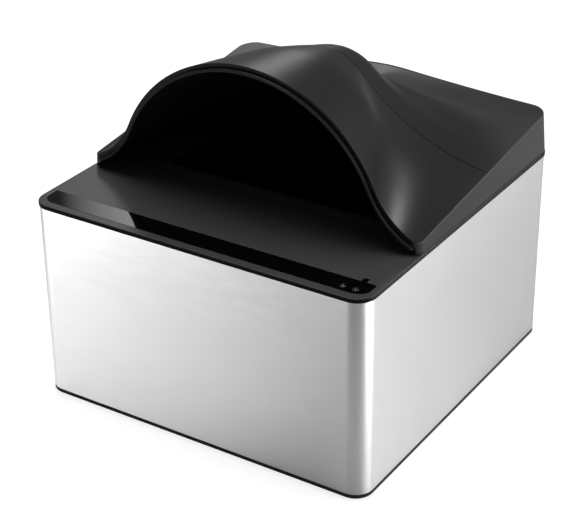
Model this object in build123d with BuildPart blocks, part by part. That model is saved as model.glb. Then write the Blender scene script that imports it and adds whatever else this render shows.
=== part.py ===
from build123d import *
import os
from math import cos, sin, sqrt

os.makedirs("parts", exist_ok=True)

# Travel document scanner: a square case with a glass on top, under an arched light hood
# that is hinged along the case's rear edge. Millimetres. X is across, Y runs from front to
# back, Z is up, and the origin is under the middle of the case, level with the feet.

# Case
CASE_WIDE = 190.0
CASE_DEEP = 191.2
CASE_CORNER = 9.4
FOOT_PROUD = 0.5
BAND_BOTTOM = 2.6
BAND_TOP = 106.8
BAND_THICK = 1.5
FIT = 0.1
RIM_OUT = 0.5
FRAME_EDGE = 1.0
DECK_EDGE = 1.2
EDGE_BREAK = 0.25

DECK_BOTTOM = BAND_TOP + FRAME_EDGE
DECK_TOP = DECK_BOTTOM + DECK_EDGE
RIM_WIDE = CASE_WIDE + 2 * RIM_OUT
RIM_DEEP = CASE_DEEP + 2 * RIM_OUT
RIM_CORNER = CASE_CORNER + RIM_OUT
INNER_WIDE = CASE_WIDE - 2 * (BAND_THICK + FIT)
INNER_DEEP = CASE_DEEP - 2 * (BAND_THICK + FIT)
INNER_CORNER = CASE_CORNER - BAND_THICK - FIT
TRAY_FLOOR = 4.0
POST_X, POST_Y, POST_R = 87.3, 60.0, 3.5
FOOT_PLACE, FOOT_R, FOOT_SUNK = 76.0, 7.0, 1.0

# Document glass: it takes a passport's open data page, 125 by 88
WINDOW_HALF = 63.2
WINDOW_FRONT = -24.3
WINDOW_BACK = 66.3
GLASS_LAP = 2.3
GLASS_THICK = 2.8
GASKET_THICK = 1.0
BEZEL_WIDE = 4.8
BEZEL_PROUD = 0.1
BEZEL_LIP = 0.6
WINDOW_DEEP = WINDOW_BACK - WINDOW_FRONT
WINDOW_MID = (WINDOW_BACK + WINDOW_FRONT) / 2
GLASS_TOP = DECK_TOP + BEZEL_PROUD - BEZEL_LIP
GLASS_BOTTOM = GLASS_TOP - GLASS_THICK
LEDGE = GLASS_BOTTOM - GASKET_THICK

# Status strip along the front edge, with two lights at its right end
STRIP_HALF = 92.2
STRIP_FRONT, STRIP_BACK = -91.5, -79.4
STRIP_CORNER = 7.0
STRIP_THICK = 0.6
LIGHTS_MID = (82.0, -87.3)
LIGHT_PLACES = ((78.7, -87.3), (85.3, -87.3))
PIPE_R = 1.45
TAB_X, TAB_WIDE, TAB_DEEP = 85.1, 3.4, 3.4
LAMP_BOARD_WIDE, LAMP_BOARD_DEEP, LAMP_BOARD_THICK = 16.0, 7.2, 1.2
LAMP_BOARD_TOP = 103.8
LAMP_PINS = ((75.5, -85.4), (88.5, -85.4))
LAMP_HIGH = 1.1

# Inner boards
BOARD_THICK = 1.6
BOARD_BOTTOM = 8.5
BOARD_TOP = BOARD_BOTTOM + BOARD_THICK
BOX_BOTTOM = 24.0
BOX_WALL = 2.0
PORT_X = 28.0

# Hood
HOOD_BOTTOM = DECK_TOP + 0.3
HOOD_FRONT = -46.4
HOOD_REAR = 95.7
HOOD_HALF = 95.2
HOOD_LEAN = 0.0612
HOOD_CORNER = 9.4
HOOD_NOSE = 4.5
HOOD_EDGE_FRONT = 114.7
HOOD_EDGE_RISE = 0.1141
SKIN = 2.4
WALL = 2.5
WALL_LIP = 0.8
GROOVE = 0.15
LINER = 1.8
LINER_FRONT = -48.3
LINER_BACK = 74.8
SEAM_Y = 24.5
SEAM_GAP = 0.5

# How the hood's top runs from front to back:
# y, height of the crown, radius over the crown, slope where it meets the side wall
HOOD_STATIONS = (
    (-46.7, 183.3, 78.0, 0.37),
    (-24.6, 180.2, 68.0, 0.31),
    (-4.5, 177.3, 56.5, 0.25),
    (12.6, 173.2, 40.5, 0.18),
    (24.6, 169.7, 30.3, 0.12),
    (40.7, 164.5, 25.5, 0.04),
    (58.7, 149.7, 22.0, -0.02),
    (76.8, 136.1, 22.0, -0.01),
    (95.1, 135.0, 150.0, 0.03),
)

# Hinge: its knuckles end flush with the case's rear edge, and the hood's rear wall is rounded below
# so that it turns clear of the deck
KNUCKLE_R = 2.5
AXIS_Y = RIM_DEEP / 2 - KNUCKLE_R
AXIS_Z = DECK_TOP + 3.8
HINGE_X = 60.0
PIN_R = 1.2
ROUNDED_R = AXIS_Z - DECK_TOP - 0.35
PIN_PLAY = 0.05
MID_KNUCKLE = 10.0
EAR_WIDE = 6.0
EAR_GAP = 0.3
NOTCH_HALF = 12.0
NOTCH_TOP = 117.5

# Screws: shank radius, head radius, head height
SCREW_3 = (1.5, 2.75, 1.8)
SCREW_2 = (1.0, 1.9, 1.2)


def corners(x, y):
    return [(sx * x, sy * y) for sx in (-1, 1) for sy in (-1, 1)]


def screw(size, length, under_head, up=True):
    """A pan head screw into the block at hand; its shank points up or down from under the head."""
    shank_r, head_r, head_h = size
    way = 1 if up else -1
    with Locations((0, 0, under_head - way * head_h / 2)):
        Cylinder(head_r, head_h)
    with Locations((0, 0, under_head + way * length / 2)):
        Cylinder(shank_r, length)


# Case, from the feet up

with BuildPart() as bottom_tray:
    with BuildSketch(Plane.XY.offset(FOOT_PROUD)):
        RectangleRounded(CASE_WIDE, CASE_DEEP, CASE_CORNER)
    extrude(amount=BAND_BOTTOM - FOOT_PROUD)
    with BuildSketch(Plane.XY.offset(BAND_BOTTOM)):
        RectangleRounded(INNER_WIDE, INNER_DEEP, INNER_CORNER)
    extrude(amount=TRAY_FLOOR - BAND_BOTTOM)
    # a low rib that holds the band from inside
    with BuildSketch(Plane.XY.offset(TRAY_FLOOR)):
        RectangleRounded(INNER_WIDE, INNER_DEEP, INNER_CORNER)
        RectangleRounded(INNER_WIDE - 4, INNER_DEEP - 4, INNER_CORNER - 2, mode=Mode.SUBTRACT)
    extrude(amount=2)
    # posts under the main board and the camera board
    board_posts = corners(48, 18)
    camera_posts = corners(16, 16)
    with BuildSketch(Plane.XY.offset(TRAY_FLOOR)):
        with Locations((0, 66)), Locations(*board_posts):
            Circle(3)
        with Locations((0, WINDOW_MID)), Locations(*camera_posts):
            Circle(2.4)
    extrude(amount=BOARD_BOTTOM - TRAY_FLOOR)
    with Locations((0, 66, BOARD_BOTTOM)), Locations(*board_posts):
        Hole(SCREW_2[0] + FIT, depth=5)
    with Locations((0, WINDOW_MID, BOARD_BOTTOM)), Locations(*camera_posts):
        Hole(SCREW_2[0] + FIT, depth=5)
    # seats for the feet, and sunk holes for the case screws
    with BuildSketch(Plane.XY.offset(FOOT_PROUD)):
        with Locations(*corners(FOOT_PLACE, FOOT_PLACE)):
            Circle(FOOT_R + FIT)
    extrude(amount=FOOT_SUNK, mode=Mode.SUBTRACT)
    with BuildSketch(Plane.XY.offset(FOOT_PROUD)):
        with Locations(*corners(POST_X, POST_Y)):
            Circle(SCREW_3[0] + FIT)
    extrude(amount=TRAY_FLOOR, mode=Mode.SUBTRACT)
    with BuildSketch(Plane.XY.offset(FOOT_PROUD)):
        with Locations(*corners(POST_X, POST_Y)):
            Circle(SCREW_3[1] + 2 * FIT)
    extrude(amount=SCREW_3[2] + FIT, mode=Mode.SUBTRACT)
bottom_tray.part.label = "bottom_tray"
export_step(bottom_tray.part, "parts/bottom_tray.step")

with BuildPart() as rubber_feet:
    with BuildSketch():
        with Locations(*corners(FOOT_PLACE, FOOT_PLACE)):
            Circle(FOOT_R)
    extrude(amount=FOOT_PROUD + FOOT_SUNK)
    chamfer(rubber_feet.edges().group_by(Axis.Z)[0], length=0.3)
rubber_feet.part.label = "rubber_feet"
export_step(rubber_feet.part, "parts/rubber_feet.step")

# The rear panel fills a window in the band, behind the sockets
PANEL_HALF, PANEL_LOW, PANEL_HIGH = 62.0, 7.5, 52.0
PANEL_FLANGE = 3.0
BAND_INNER = CASE_DEEP / 2 - BAND_THICK
PANEL_MID = (PANEL_LOW + PANEL_HIGH) / 2
PANEL_TALL = PANEL_HIGH - PANEL_LOW

with BuildPart() as case_band:
    with BuildSketch(Plane.XY.offset(BAND_BOTTOM)):
        RectangleRounded(CASE_WIDE, CASE_DEEP, CASE_CORNER)
        RectangleRounded(
            CASE_WIDE - 2 * BAND_THICK, CASE_DEEP - 2 * BAND_THICK, CASE_CORNER - BAND_THICK, mode=Mode.SUBTRACT
        )
    extrude(amount=BAND_TOP - BAND_BOTTOM)
    with BuildSketch(Plane.XZ.offset(-BAND_INNER + 2)):
        with Locations((0, PANEL_MID)):
            RectangleRounded(2 * PANEL_HALF, PANEL_TALL, 3)
    extrude(amount=-8, mode=Mode.SUBTRACT)
case_band.part.label = "case_band"
export_step(case_band.part, "parts/case_band.step")

USB_WIDE, USB_TALL = 12.0, 10.9
JACK_WIDE, JACK_TALL = 9.0, 11.0
VENT_COUNT, VENT_STEP = 13, 7.0

with BuildPart() as rear_panel:
    with BuildSketch(Plane.XZ.offset(-BAND_INNER)):
        with Locations((0, PANEL_MID)):
            RectangleRounded(2 * (PANEL_HALF + PANEL_FLANGE), PANEL_TALL + PANEL_FLANGE, 3)
    extrude(amount=1.8)
    with BuildSketch(Plane.XZ.offset(-BAND_INNER)):
        with Locations((0, PANEL_MID)):
            RectangleRounded(2 * (PANEL_HALF - FIT), PANEL_TALL - 2 * FIT, 3 - FIT)
    extrude(amount=-1.2)
    with BuildSketch(Plane.XZ.offset(-BAND_INNER + 3)):
        with Locations((PORT_X, BOARD_TOP + USB_TALL / 2)):
            Rectangle(USB_WIDE + 0.6, USB_TALL + 0.6)
        with Locations((-PORT_X, BOARD_TOP + JACK_TALL / 2)):
            RectangleRounded(JACK_WIDE + 0.6, JACK_TALL + 0.6, 1)
        with Locations((0, 38)), GridLocations(VENT_STEP, 1, VENT_COUNT, 1):
            SlotOverall(16, 2.2, rotation=90)
    extrude(amount=-6, mode=Mode.SUBTRACT)
rear_panel.part.label = "rear_panel"
export_step(rear_panel.part, "parts/rear_panel.step")

# Top frame: the lower of the two black layers on the band, with a skirt and four posts inside it
RING_HALF = 84.0
TAB_LOW = 103.9
DECK_TABS = corners(80.2, 40)

with BuildPart() as top_frame:
    with BuildSketch(Plane.XY.offset(BAND_TOP)):
        RectangleRounded(RIM_WIDE, RIM_DEEP, RIM_CORNER)
        RectangleRounded(2 * RING_HALF, 2 * RING_HALF, 6, mode=Mode.SUBTRACT)
    extrude(amount=FRAME_EDGE)
    chamfer(top_frame.edges().group_by(Axis.Z)[-1].group_by(SortBy.LENGTH)[-1], length=EDGE_BREAK)
    with BuildSketch(Plane.XY.offset(BAND_TOP - 6)):
        RectangleRounded(INNER_WIDE, INNER_DEEP, INNER_CORNER)
        RectangleRounded(INNER_WIDE - 4, INNER_DEEP - 4, INNER_CORNER - 2, mode=Mode.SUBTRACT)
    extrude(amount=6)
    with BuildSketch(Plane.XY.offset(TRAY_FLOOR)):
        with Locations(*corners(POST_X, POST_Y)):
            Circle(POST_R)
    extrude(amount=BAND_TOP - TRAY_FLOOR)
    # tabs that reach under the deck for its screws
    with Locations(*[(x, y, (TAB_LOW + DECK_BOTTOM - 2) / 2) for x, y in DECK_TABS]):
        Box(8.4, 12, DECK_BOTTOM - 2 - TAB_LOW)
    with Locations(*[(x / 80.2 * 86, y, (TAB_LOW + DECK_BOTTOM) / 2) for x, y in DECK_TABS]):
        Box(3.8, 12, DECK_BOTTOM - TAB_LOW)
    with BuildSketch(Plane.XY.offset(TAB_LOW)):
        with Locations(*DECK_TABS):
            Circle(SCREW_3[0] + FIT)
    extrude(amount=2, mode=Mode.SUBTRACT)
    # pilot holes for the case screws
    with BuildSketch(Plane.XY.offset(TRAY_FLOOR)):
        with Locations(*corners(POST_X, POST_Y)):
            Circle(SCREW_3[0] + FIT)
    extrude(amount=14, mode=Mode.SUBTRACT)
    # room for the indicator board, the bosses and pins that it hangs on, and a slot for its light pipes
    with Locations((84, -88.2, LAMP_BOARD_TOP - 2)):
        Box(20, 12, 4, mode=Mode.SUBTRACT)
    with BuildSketch(Plane.XY.offset(LAMP_BOARD_TOP)):
        with Locations(*LAMP_PINS):
            Circle(1.3)
    extrude(amount=BAND_TOP - LAMP_BOARD_TOP)
    with BuildSketch(Plane.XY.offset(LAMP_BOARD_TOP)):
        with Locations(*LAMP_PINS):
            Circle(0.65)
    extrude(amount=-LAMP_BOARD_THICK - 0.5)
    with BuildSketch(Plane.XY.offset(BAND_TOP - 1)):
        with Locations(LIGHTS_MID):
            RectangleRounded(10, 4, 1.9)
    extrude(amount=3, mode=Mode.SUBTRACT)
top_frame.part.label = "top_frame"
export_step(top_frame.part, "parts/top_frame.step")

# Deck: the flat top plate, with the ledge that carries the glass
PAD_SIDE = 2 * RING_HALF - 1.0
PAD_BOTTOM = 105.9
SEAT_HALF_X = 76.0
SEAT_FRONT, SEAT_BACK = -36.0, 80.0
SEAT_BOTTOM = 104.0
SEAT_MID = (SEAT_FRONT + SEAT_BACK) / 2
BOX_SCREWS = corners(72, 46)
BRACKET_SCREW_Y = AXIS_Y - 12.5
BRACKET_SCREWS = [(sx * HINGE_X + dx, BRACKET_SCREW_Y) for sx in (-1, 1) for dx in (-6.5, 6.5)]

with BuildSketch(Plane.XY.offset(DECK_TOP - STRIP_THICK)) as strip_outline:
    with Locations((0, (STRIP_BACK + STRIP_FRONT) / 2)):
        Rectangle(2 * STRIP_HALF, STRIP_BACK - STRIP_FRONT)
    fillet(strip_outline.vertices().group_by(Axis.Y)[0], radius=STRIP_CORNER)
    with Locations((TAB_X, STRIP_BACK)):
        RectangleRounded(TAB_WIDE, 2 * TAB_DEEP, 1.2)

with BuildPart() as deck_plate:
    with BuildSketch(Plane.XY.offset(DECK_BOTTOM)):
        RectangleRounded(RIM_WIDE, RIM_DEEP, RIM_CORNER)
    extrude(amount=DECK_EDGE)
    chamfer(deck_plate.edges().group_by(Axis.Z)[-1], length=EDGE_BREAK)
    chamfer(deck_plate.edges().group_by(Axis.Z)[0], length=EDGE_BREAK)
    with BuildSketch(Plane.XY.offset(PAD_BOTTOM)):
        RectangleRounded(PAD_SIDE, PAD_SIDE, 5.5)
    extrude(amount=DECK_BOTTOM - PAD_BOTTOM)
    with BuildSketch(Plane.XY.offset(SEAT_BOTTOM)):
        with Locations((0, SEAT_MID)):
            RectangleRounded(2 * SEAT_HALF_X - 1, SEAT_BACK - SEAT_FRONT, 3)
    extrude(amount=PAD_BOTTOM - SEAT_BOTTOM)
    with BuildSketch(Plane.XY.offset(LEDGE)):
        with Locations((0, WINDOW_MID)):
            RectangleRounded(
                2 * (WINDOW_HALF + BEZEL_WIDE + FIT), WINDOW_DEEP + 2 * (BEZEL_WIDE + FIT), 3 + FIT
            )
    extrude(amount=10, mode=Mode.SUBTRACT)
    with BuildSketch(Plane.XY.offset(SEAT_BOTTOM)):
        with Locations((0, WINDOW_MID)):
            RectangleRounded(2 * (WINDOW_HALF - 1), WINDOW_DEEP - 2, 2)
    extrude(amount=10, mode=Mode.SUBTRACT)
    add(strip_outline.sketch)
    extrude(amount=10, mode=Mode.SUBTRACT)
    with BuildSketch(Plane.XY.offset(DECK_BOTTOM)):
        with Locations(*LIGHT_PLACES):
            Circle(PIPE_R + FIT)
    extrude(amount=10, mode=Mode.SUBTRACT)
    # pilot holes from below for the deck and the light box, and from above for the hinges
    with BuildSketch(Plane.XY.offset(PAD_BOTTOM)):
        with Locations(*DECK_TABS):
            Circle(SCREW_3[0] + FIT)
    extrude(amount=2.5, mode=Mode.SUBTRACT)
    with BuildSketch(Plane.XY.offset(SEAT_BOTTOM)):
        with Locations((0, WINDOW_MID)), Locations(*BOX_SCREWS):
            Circle(SCREW_2[0] + FIT)
    extrude(amount=3.5, mode=Mode.SUBTRACT)
    with BuildSketch(Plane.XY.offset(DECK_TOP)):
        with Locations(*BRACKET_SCREWS):
            Circle(SCREW_2[0] + FIT)
    extrude(amount=-3, mode=Mode.SUBTRACT)
deck_plate.part.label = "deck_plate"
export_step(deck_plate.part, "parts/deck_plate.step")

with BuildPart() as status_strip:
    add(strip_outline.sketch)
    extrude(amount=STRIP_THICK + 0.05)
    with BuildSketch(Plane.XY.offset(DECK_TOP - STRIP_THICK)):
        with Locations(*LIGHT_PLACES):
            Circle(PIPE_R + FIT)
    extrude(amount=STRIP_THICK + 1, mode=Mode.SUBTRACT)
status_strip.part.label = "status_strip"
export_step(status_strip.part, "parts/status_strip.step")

# Indicator lights under the strip's right end
with BuildPart() as indicator_board:
    with BuildSketch(Plane.XY.offset(LAMP_BOARD_TOP - LAMP_BOARD_THICK)):
        with Locations(LIGHTS_MID):
            Rectangle(LAMP_BOARD_WIDE, LAMP_BOARD_DEEP)
        with Locations(*LAMP_PINS):
            Circle(0.7, mode=Mode.SUBTRACT)
    extrude(amount=LAMP_BOARD_THICK)
indicator_board.part.label = "indicator_board"
export_step(indicator_board.part, "parts/indicator_board.step")

with BuildPart() as indicator_leds:
    with Locations(*[(x, y, LAMP_BOARD_TOP + LAMP_HIGH / 2) for x, y in LIGHT_PLACES]):
        Box(3.2, 1.6, LAMP_HIGH)
indicator_leds.part.label = "indicator_leds"
export_step(indicator_leds.part, "parts/indicator_leds.step")

with BuildPart() as light_pipes:
    with BuildSketch(Plane.XY.offset(LAMP_BOARD_TOP + LAMP_HIGH)):
        with Locations(*LIGHT_PLACES):
            Circle(PIPE_R)
    extrude(amount=DECK_TOP + 0.05 - LAMP_BOARD_TOP - LAMP_HIGH)
light_pipes.part.label = "light_pipes"
export_step(light_pipes.part, "parts/light_pipes.step")

# Glass, its bezel and its gasket

with BuildPart() as glass_bezel:
    with BuildSketch(Plane.XY.offset(LEDGE)):
        with Locations((0, WINDOW_MID)):
            RectangleRounded(2 * (WINDOW_HALF + BEZEL_WIDE), WINDOW_DEEP + 2 * BEZEL_WIDE, 3)
    extrude(amount=DECK_TOP + BEZEL_PROUD - LEDGE)
    chamfer(glass_bezel.edges().group_by(Axis.Z)[-1], length=BEZEL_PROUD)
    with BuildSketch(Plane.XY.offset(LEDGE)):
        with Locations((0, WINDOW_MID)):
            Rectangle(2 * (WINDOW_HALF + GLASS_LAP + FIT), WINDOW_DEEP + 2 * (GLASS_LAP + FIT))
    extrude(amount=GLASS_TOP - LEDGE, mode=Mode.SUBTRACT)
    with BuildSketch(Plane.XY.offset(LEDGE)):
        with Locations((0, WINDOW_MID)):
            RectangleRounded(2 * WINDOW_HALF, WINDOW_DEEP, 1)
    extrude(amount=10, mode=Mode.SUBTRACT)
glass_bezel.part.label = "glass_bezel"
export_step(glass_bezel.part, "parts/glass_bezel.step")

with BuildPart() as document_glass:
    with BuildSketch(Plane.XY.offset(GLASS_BOTTOM)):
        with Locations((0, WINDOW_MID)):
            Rectangle(2 * (WINDOW_HALF + GLASS_LAP), WINDOW_DEEP + 2 * GLASS_LAP)
    extrude(amount=GLASS_THICK)
document_glass.part.label = "document_glass"
export_step(document_glass.part, "parts/document_glass.step")

with BuildPart() as glass_gasket:
    with BuildSketch(Plane.XY.offset(LEDGE)):
        with Locations((0, WINDOW_MID)):
            Rectangle(2 * (WINDOW_HALF + GLASS_LAP), WINDOW_DEEP + 2 * GLASS_LAP)
            Rectangle(2 * (WINDOW_HALF - 0.8), WINDOW_DEEP - 1.6, mode=Mode.SUBTRACT)
    extrude(amount=GASKET_THICK)
glass_gasket.part.label = "glass_gasket"
export_step(glass_gasket.part, "parts/glass_gasket.step")

# Light box: the dark chamber under the glass, with two lamp boards on its floor
BOX_X, BOX_Y = 136.0, 100.0
LAMP_X = 56.0
LAMP_WIDE, LAMP_LONG = 12.0, 84.0
LAMP_COUNT, LAMP_STEP = 8, 10.0
LENS_HOLE = 7.5
RIBBON_Y = 50.0

with BuildPart() as optical_housing:
    with BuildSketch(Plane.XY.offset(BOX_BOTTOM)):
        with Locations((0, WINDOW_MID)):
            RectangleRounded(BOX_X, BOX_Y, 5)
    extrude(amount=SEAT_BOTTOM - BOX_BOTTOM)
    with BuildSketch(Plane.XY.offset(SEAT_BOTTOM - 2)):
        with Locations((0, WINDOW_MID)):
            RectangleRounded(BOX_X + 13, BOX_Y, 5)
    extrude(amount=2)
    with BuildSketch(Plane.XY.offset(BOX_BOTTOM + BOX_WALL)):
        with Locations((0, WINDOW_MID)):
            RectangleRounded(BOX_X - 2 * BOX_WALL, BOX_Y - 2 * BOX_WALL, 3)
    extrude(amount=100, mode=Mode.SUBTRACT)
    with BuildSketch(Plane.XY.offset(BOX_BOTTOM)):
        with Locations((0, WINDOW_MID)):
            Circle(LENS_HOLE)
        with Locations((-LAMP_X, RIBBON_Y), (LAMP_X, RIBBON_Y)):
            Rectangle(1.2, 7)
    extrude(amount=BOX_WALL, mode=Mode.SUBTRACT)
    with BuildSketch(Plane.XY.offset(SEAT_BOTTOM - 2)):
        with Locations((0, WINDOW_MID)), Locations(*BOX_SCREWS):
            Circle(SCREW_2[0] + FIT)
    extrude(amount=2, mode=Mode.SUBTRACT)
optical_housing.part.label = "optical_housing"
export_step(optical_housing.part, "parts/optical_housing.step")

LAMP_FLOOR = BOX_BOTTOM + BOX_WALL
for side, name in ((-1, "left"), (1, "right")):
    with BuildPart() as light_board:
        with Locations((side * LAMP_X, WINDOW_MID, LAMP_FLOOR + BOARD_THICK / 2)):
            Box(LAMP_WIDE, LAMP_LONG, BOARD_THICK)
    light_board.part.label = f"light_board_{name}"
    export_step(light_board.part, f"parts/light_board_{name}.step")

    # an opal cover, open below, that spreads the light of the board inside it
    with BuildPart() as light_diffuser:
        with BuildSketch(Plane.XY.offset(LAMP_FLOOR)):
            with Locations((side * LAMP_X, WINDOW_MID)):
                RectangleRounded(LAMP_WIDE + 4, LAMP_LONG + 4, 2)
        extrude(amount=9)
        fillet(light_diffuser.edges().group_by(Axis.Z)[-1], radius=1.5)
        with Locations((side * LAMP_X, WINDOW_MID, LAMP_FLOOR + 3.75)):
            Box(LAMP_WIDE + 1, LAMP_LONG + 1, 7.5, mode=Mode.SUBTRACT)
    light_diffuser.part.label = f"light_diffuser_{name}"
    export_step(light_diffuser.part, f"parts/light_diffuser_{name}.step")

with BuildPart() as light_leds:
    for side in (-1, 1):
        with Locations((side * LAMP_X, WINDOW_MID, LAMP_FLOOR + BOARD_THICK + 0.4)):
            with GridLocations(1, LAMP_STEP, 1, LAMP_COUNT):
                Box(3, 3, 0.8)
light_leds.part.label = "light_leds"
export_step(light_leds.part, "parts/light_leds.step")

# Camera: board, sensor, lens holder, threaded barrel and its two lens elements
SENSOR_HIGH = 1.2
HOLDER_TOP = 20.5
BARREL_LOW, BARREL_TOP = 13.4, 27.0
BARREL_R = 6.0

with BuildPart() as camera_board:
    with BuildSketch(Plane.XY.offset(BOARD_BOTTOM)):
        with Locations((0, WINDOW_MID)):
            RectangleRounded(38, 38, 1)
            with Locations(*camera_posts):
                Circle(SCREW_2[0] + FIT, mode=Mode.SUBTRACT)
    extrude(amount=BOARD_THICK)
camera_board.part.label = "camera_board"
export_step(camera_board.part, "parts/camera_board.step")

with BuildPart() as image_sensor:
    with Locations((0, WINDOW_MID, BOARD_TOP + SENSOR_HIGH / 2)):
        Box(9, 9, SENSOR_HIGH)
image_sensor.part.label = "image_sensor"
export_step(image_sensor.part, "parts/image_sensor.step")

with BuildPart() as lens_holder:
    with BuildSketch(Plane.XY.offset(BOARD_TOP)):
        with Locations((0, WINDOW_MID)):
            RectangleRounded(17, 17, 1)
            Rectangle(12, 12, mode=Mode.SUBTRACT)
    extrude(amount=2.4)
    with BuildSketch(Plane.XY.offset(BOARD_TOP + 2.4)):
        with Locations((0, WINDOW_MID)):
            Circle(7.6)
    extrude(amount=HOLDER_TOP - BOARD_TOP - 2.4)
    with BuildSketch(Plane.XY.offset(BOARD_TOP + 2.4)):
        with Locations((0, WINDOW_MID)):
            Circle(BARREL_R + 0.05)
    extrude(amount=10, mode=Mode.SUBTRACT)
lens_holder.part.label = "lens_holder"
export_step(lens_holder.part, "parts/lens_holder.step")

with BuildPart() as lens_barrel:
    with BuildSketch(Plane.XY.offset(BARREL_LOW)):
        with Locations((0, WINDOW_MID)):
            Circle(BARREL_R)
            Circle(3, mode=Mode.SUBTRACT)
    extrude(amount=BARREL_TOP - BARREL_LOW)
    with BuildSketch(Plane.XY.offset(BARREL_TOP - 2.5)):
        with Locations((0, WINDOW_MID)):
            Circle(4.6)
    extrude(amount=2.5, mode=Mode.SUBTRACT)
    with BuildSketch(Plane.XY.offset(BARREL_LOW)):
        with Locations((0, WINDOW_MID)):
            Circle(3.8)
    extrude(amount=2, mode=Mode.SUBTRACT)
lens_barrel.part.label = "lens_barrel"
export_step(lens_barrel.part, "parts/lens_barrel.step")

with BuildPart() as lens_elements:
    # flat face, height over it, radius: one bulges up, the other down
    for flat, bulge, radius in ((BARREL_TOP - 2.5, 3.1, 4.5), (BARREL_LOW + 2, -1.7, 3.7)):
        edge = flat + bulge * 0.6
        with BuildSketch(Plane.XZ.offset(-WINDOW_MID)):
            with BuildLine():
                Polyline((radius, edge), (radius, flat), (-radius, flat), (-radius, edge))
                ThreePointArc((-radius, edge), (0, flat + bulge), (radius, edge))
            make_face()
            with Locations((radius, flat)):
                Rectangle(2 * radius, 20, mode=Mode.INTERSECT)
        revolve(axis=Axis((0, WINDOW_MID, 0), (0, 0, 1)))
lens_elements.part.label = "lens_elements"
export_step(lens_elements.part, "parts/lens_elements.step")

# Main board with its chips, connectors and the two rear sockets
MAIN_MID = 66.0
CHIPS = (
    # x, y, width, depth, height
    (0, 60, 17, 17, 1.6),
    (22, 58, 10, 13, 1.1),
    (-22, 58, 12, 8, 1.2),
    (-6, 78, 8, 8, 3.2),
    (42, 72, 7, 5, 1.5),
    (-44, 74, 10, 10, 4.0),
)
CONNECTOR_HIGH = 2.0
CABLE_WIDE = 12.0
CABLE_FRONT, CABLE_BACK = 37.5, 46.5

with BuildPart() as main_board:
    with BuildSketch(Plane.XY.offset(BOARD_BOTTOM)):
        with Locations((0, MAIN_MID)):
            RectangleRounded(122, 44, 1.5)
            with Locations(*board_posts):
                Circle(SCREW_2[0] + FIT, mode=Mode.SUBTRACT)
    extrude(amount=BOARD_THICK)
main_board.part.label = "main_board"
export_step(main_board.part, "parts/main_board.step")

with BuildPart() as board_chips:
    for x, y, wide, deep, high in CHIPS:
        with Locations((x, y, BOARD_TOP + high / 2)):
            Box(wide, deep, high)
board_chips.part.label = "board_chips"
export_step(board_chips.part, "parts/board_chips.step")

with BuildPart() as board_connectors:
    with Locations(*[(0, y, BOARD_TOP + CONNECTOR_HIGH / 2) for y in (CABLE_FRONT, CABLE_BACK)]):
        Box(CABLE_WIDE + 3, 3.4, CONNECTOR_HIGH)
    with Locations(*[(side * LAMP_X, RIBBON_Y, BOARD_TOP + CONNECTOR_HIGH / 2) for side in (-1, 1)]):
        Box(4, 9, CONNECTOR_HIGH)
board_connectors.part.label = "board_connectors"
export_step(board_connectors.part, "parts/board_connectors.step")

# a flat cable that loops from the camera board's connector to the main board's
CABLE_THICK = 0.3
CABLE_R = (CABLE_BACK - CABLE_FRONT) / 2
CABLE_RISE = 2.0
CABLE_START = BOARD_TOP + CONNECTOR_HIGH

with BuildPart() as camera_cable:
    with BuildLine() as cable_route:
        Line((0, CABLE_FRONT, CABLE_START), (0, CABLE_FRONT, CABLE_START + CABLE_RISE))
        ThreePointArc(
            (0, CABLE_FRONT, CABLE_START + CABLE_RISE),
            (0, CABLE_FRONT + CABLE_R, CABLE_START + CABLE_RISE + CABLE_R),
            (0, CABLE_BACK, CABLE_START + CABLE_RISE),
        )
        Line((0, CABLE_BACK, CABLE_START + CABLE_RISE), (0, CABLE_BACK, CABLE_START))
    with BuildSketch(Plane.XY.offset(CABLE_START)):
        with Locations((0, CABLE_FRONT)):
            Rectangle(CABLE_WIDE, CABLE_THICK)
    sweep()
camera_cable.part.label = "camera_cable"
export_step(camera_cable.part, "parts/camera_cable.step")

with BuildPart() as light_ribbons:
    with BuildSketch(Plane.XY.offset(CABLE_START)):
        with Locations((-LAMP_X, RIBBON_Y), (LAMP_X, RIBBON_Y)):
            Rectangle(CABLE_THICK, 6)
    extrude(amount=LAMP_FLOOR - CABLE_START)
light_ribbons.part.label = "light_ribbons"
export_step(light_ribbons.part, "parts/light_ribbons.step")

PORT_FACE = BAND_INNER + 0.3

with BuildPart() as usb_socket:
    with BuildSketch(Plane.XZ.offset(-PORT_FACE)):
        with Locations((PORT_X, BOARD_TOP + USB_TALL / 2)):
            RectangleRounded(USB_WIDE, USB_TALL, 0.6)
    extrude(amount=16)
    with BuildSketch(Plane.XZ.offset(-PORT_FACE)):
        with Locations((PORT_X, BOARD_TOP + USB_TALL / 2)):
            Rectangle(8.6, 7.8)
            Rectangle(5.7, 3.2, mode=Mode.SUBTRACT)
    extrude(amount=9, mode=Mode.SUBTRACT)
usb_socket.part.label = "usb_socket"
export_step(usb_socket.part, "parts/usb_socket.step")

with BuildPart() as dc_socket:
    with BuildSketch(Plane.XZ.offset(-PORT_FACE)):
        with Locations((-PORT_X, BOARD_TOP + JACK_TALL / 2)):
            RectangleRounded(JACK_WIDE, JACK_TALL, 0.6)
    extrude(amount=14.5)
    with BuildSketch(Plane.XZ.offset(-PORT_FACE)):
        with Locations((-PORT_X, BOARD_TOP + JACK_TALL / 2 + 0.8)):
            Circle(3.1)
            Circle(1.0, mode=Mode.SUBTRACT)
    extrude(amount=10, mode=Mode.SUBTRACT)
dc_socket.part.label = "dc_socket"
export_step(dc_socket.part, "parts/dc_socket.step")

# Screws of the case

with BuildPart() as case_screws:
    for x, y in corners(POST_X, POST_Y):
        with Locations((x, y)):
            screw(SCREW_3, 14, FOOT_PROUD + SCREW_3[2] + FIT)
case_screws.part.label = "case_screws"
export_step(case_screws.part, "parts/case_screws.step")

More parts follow.
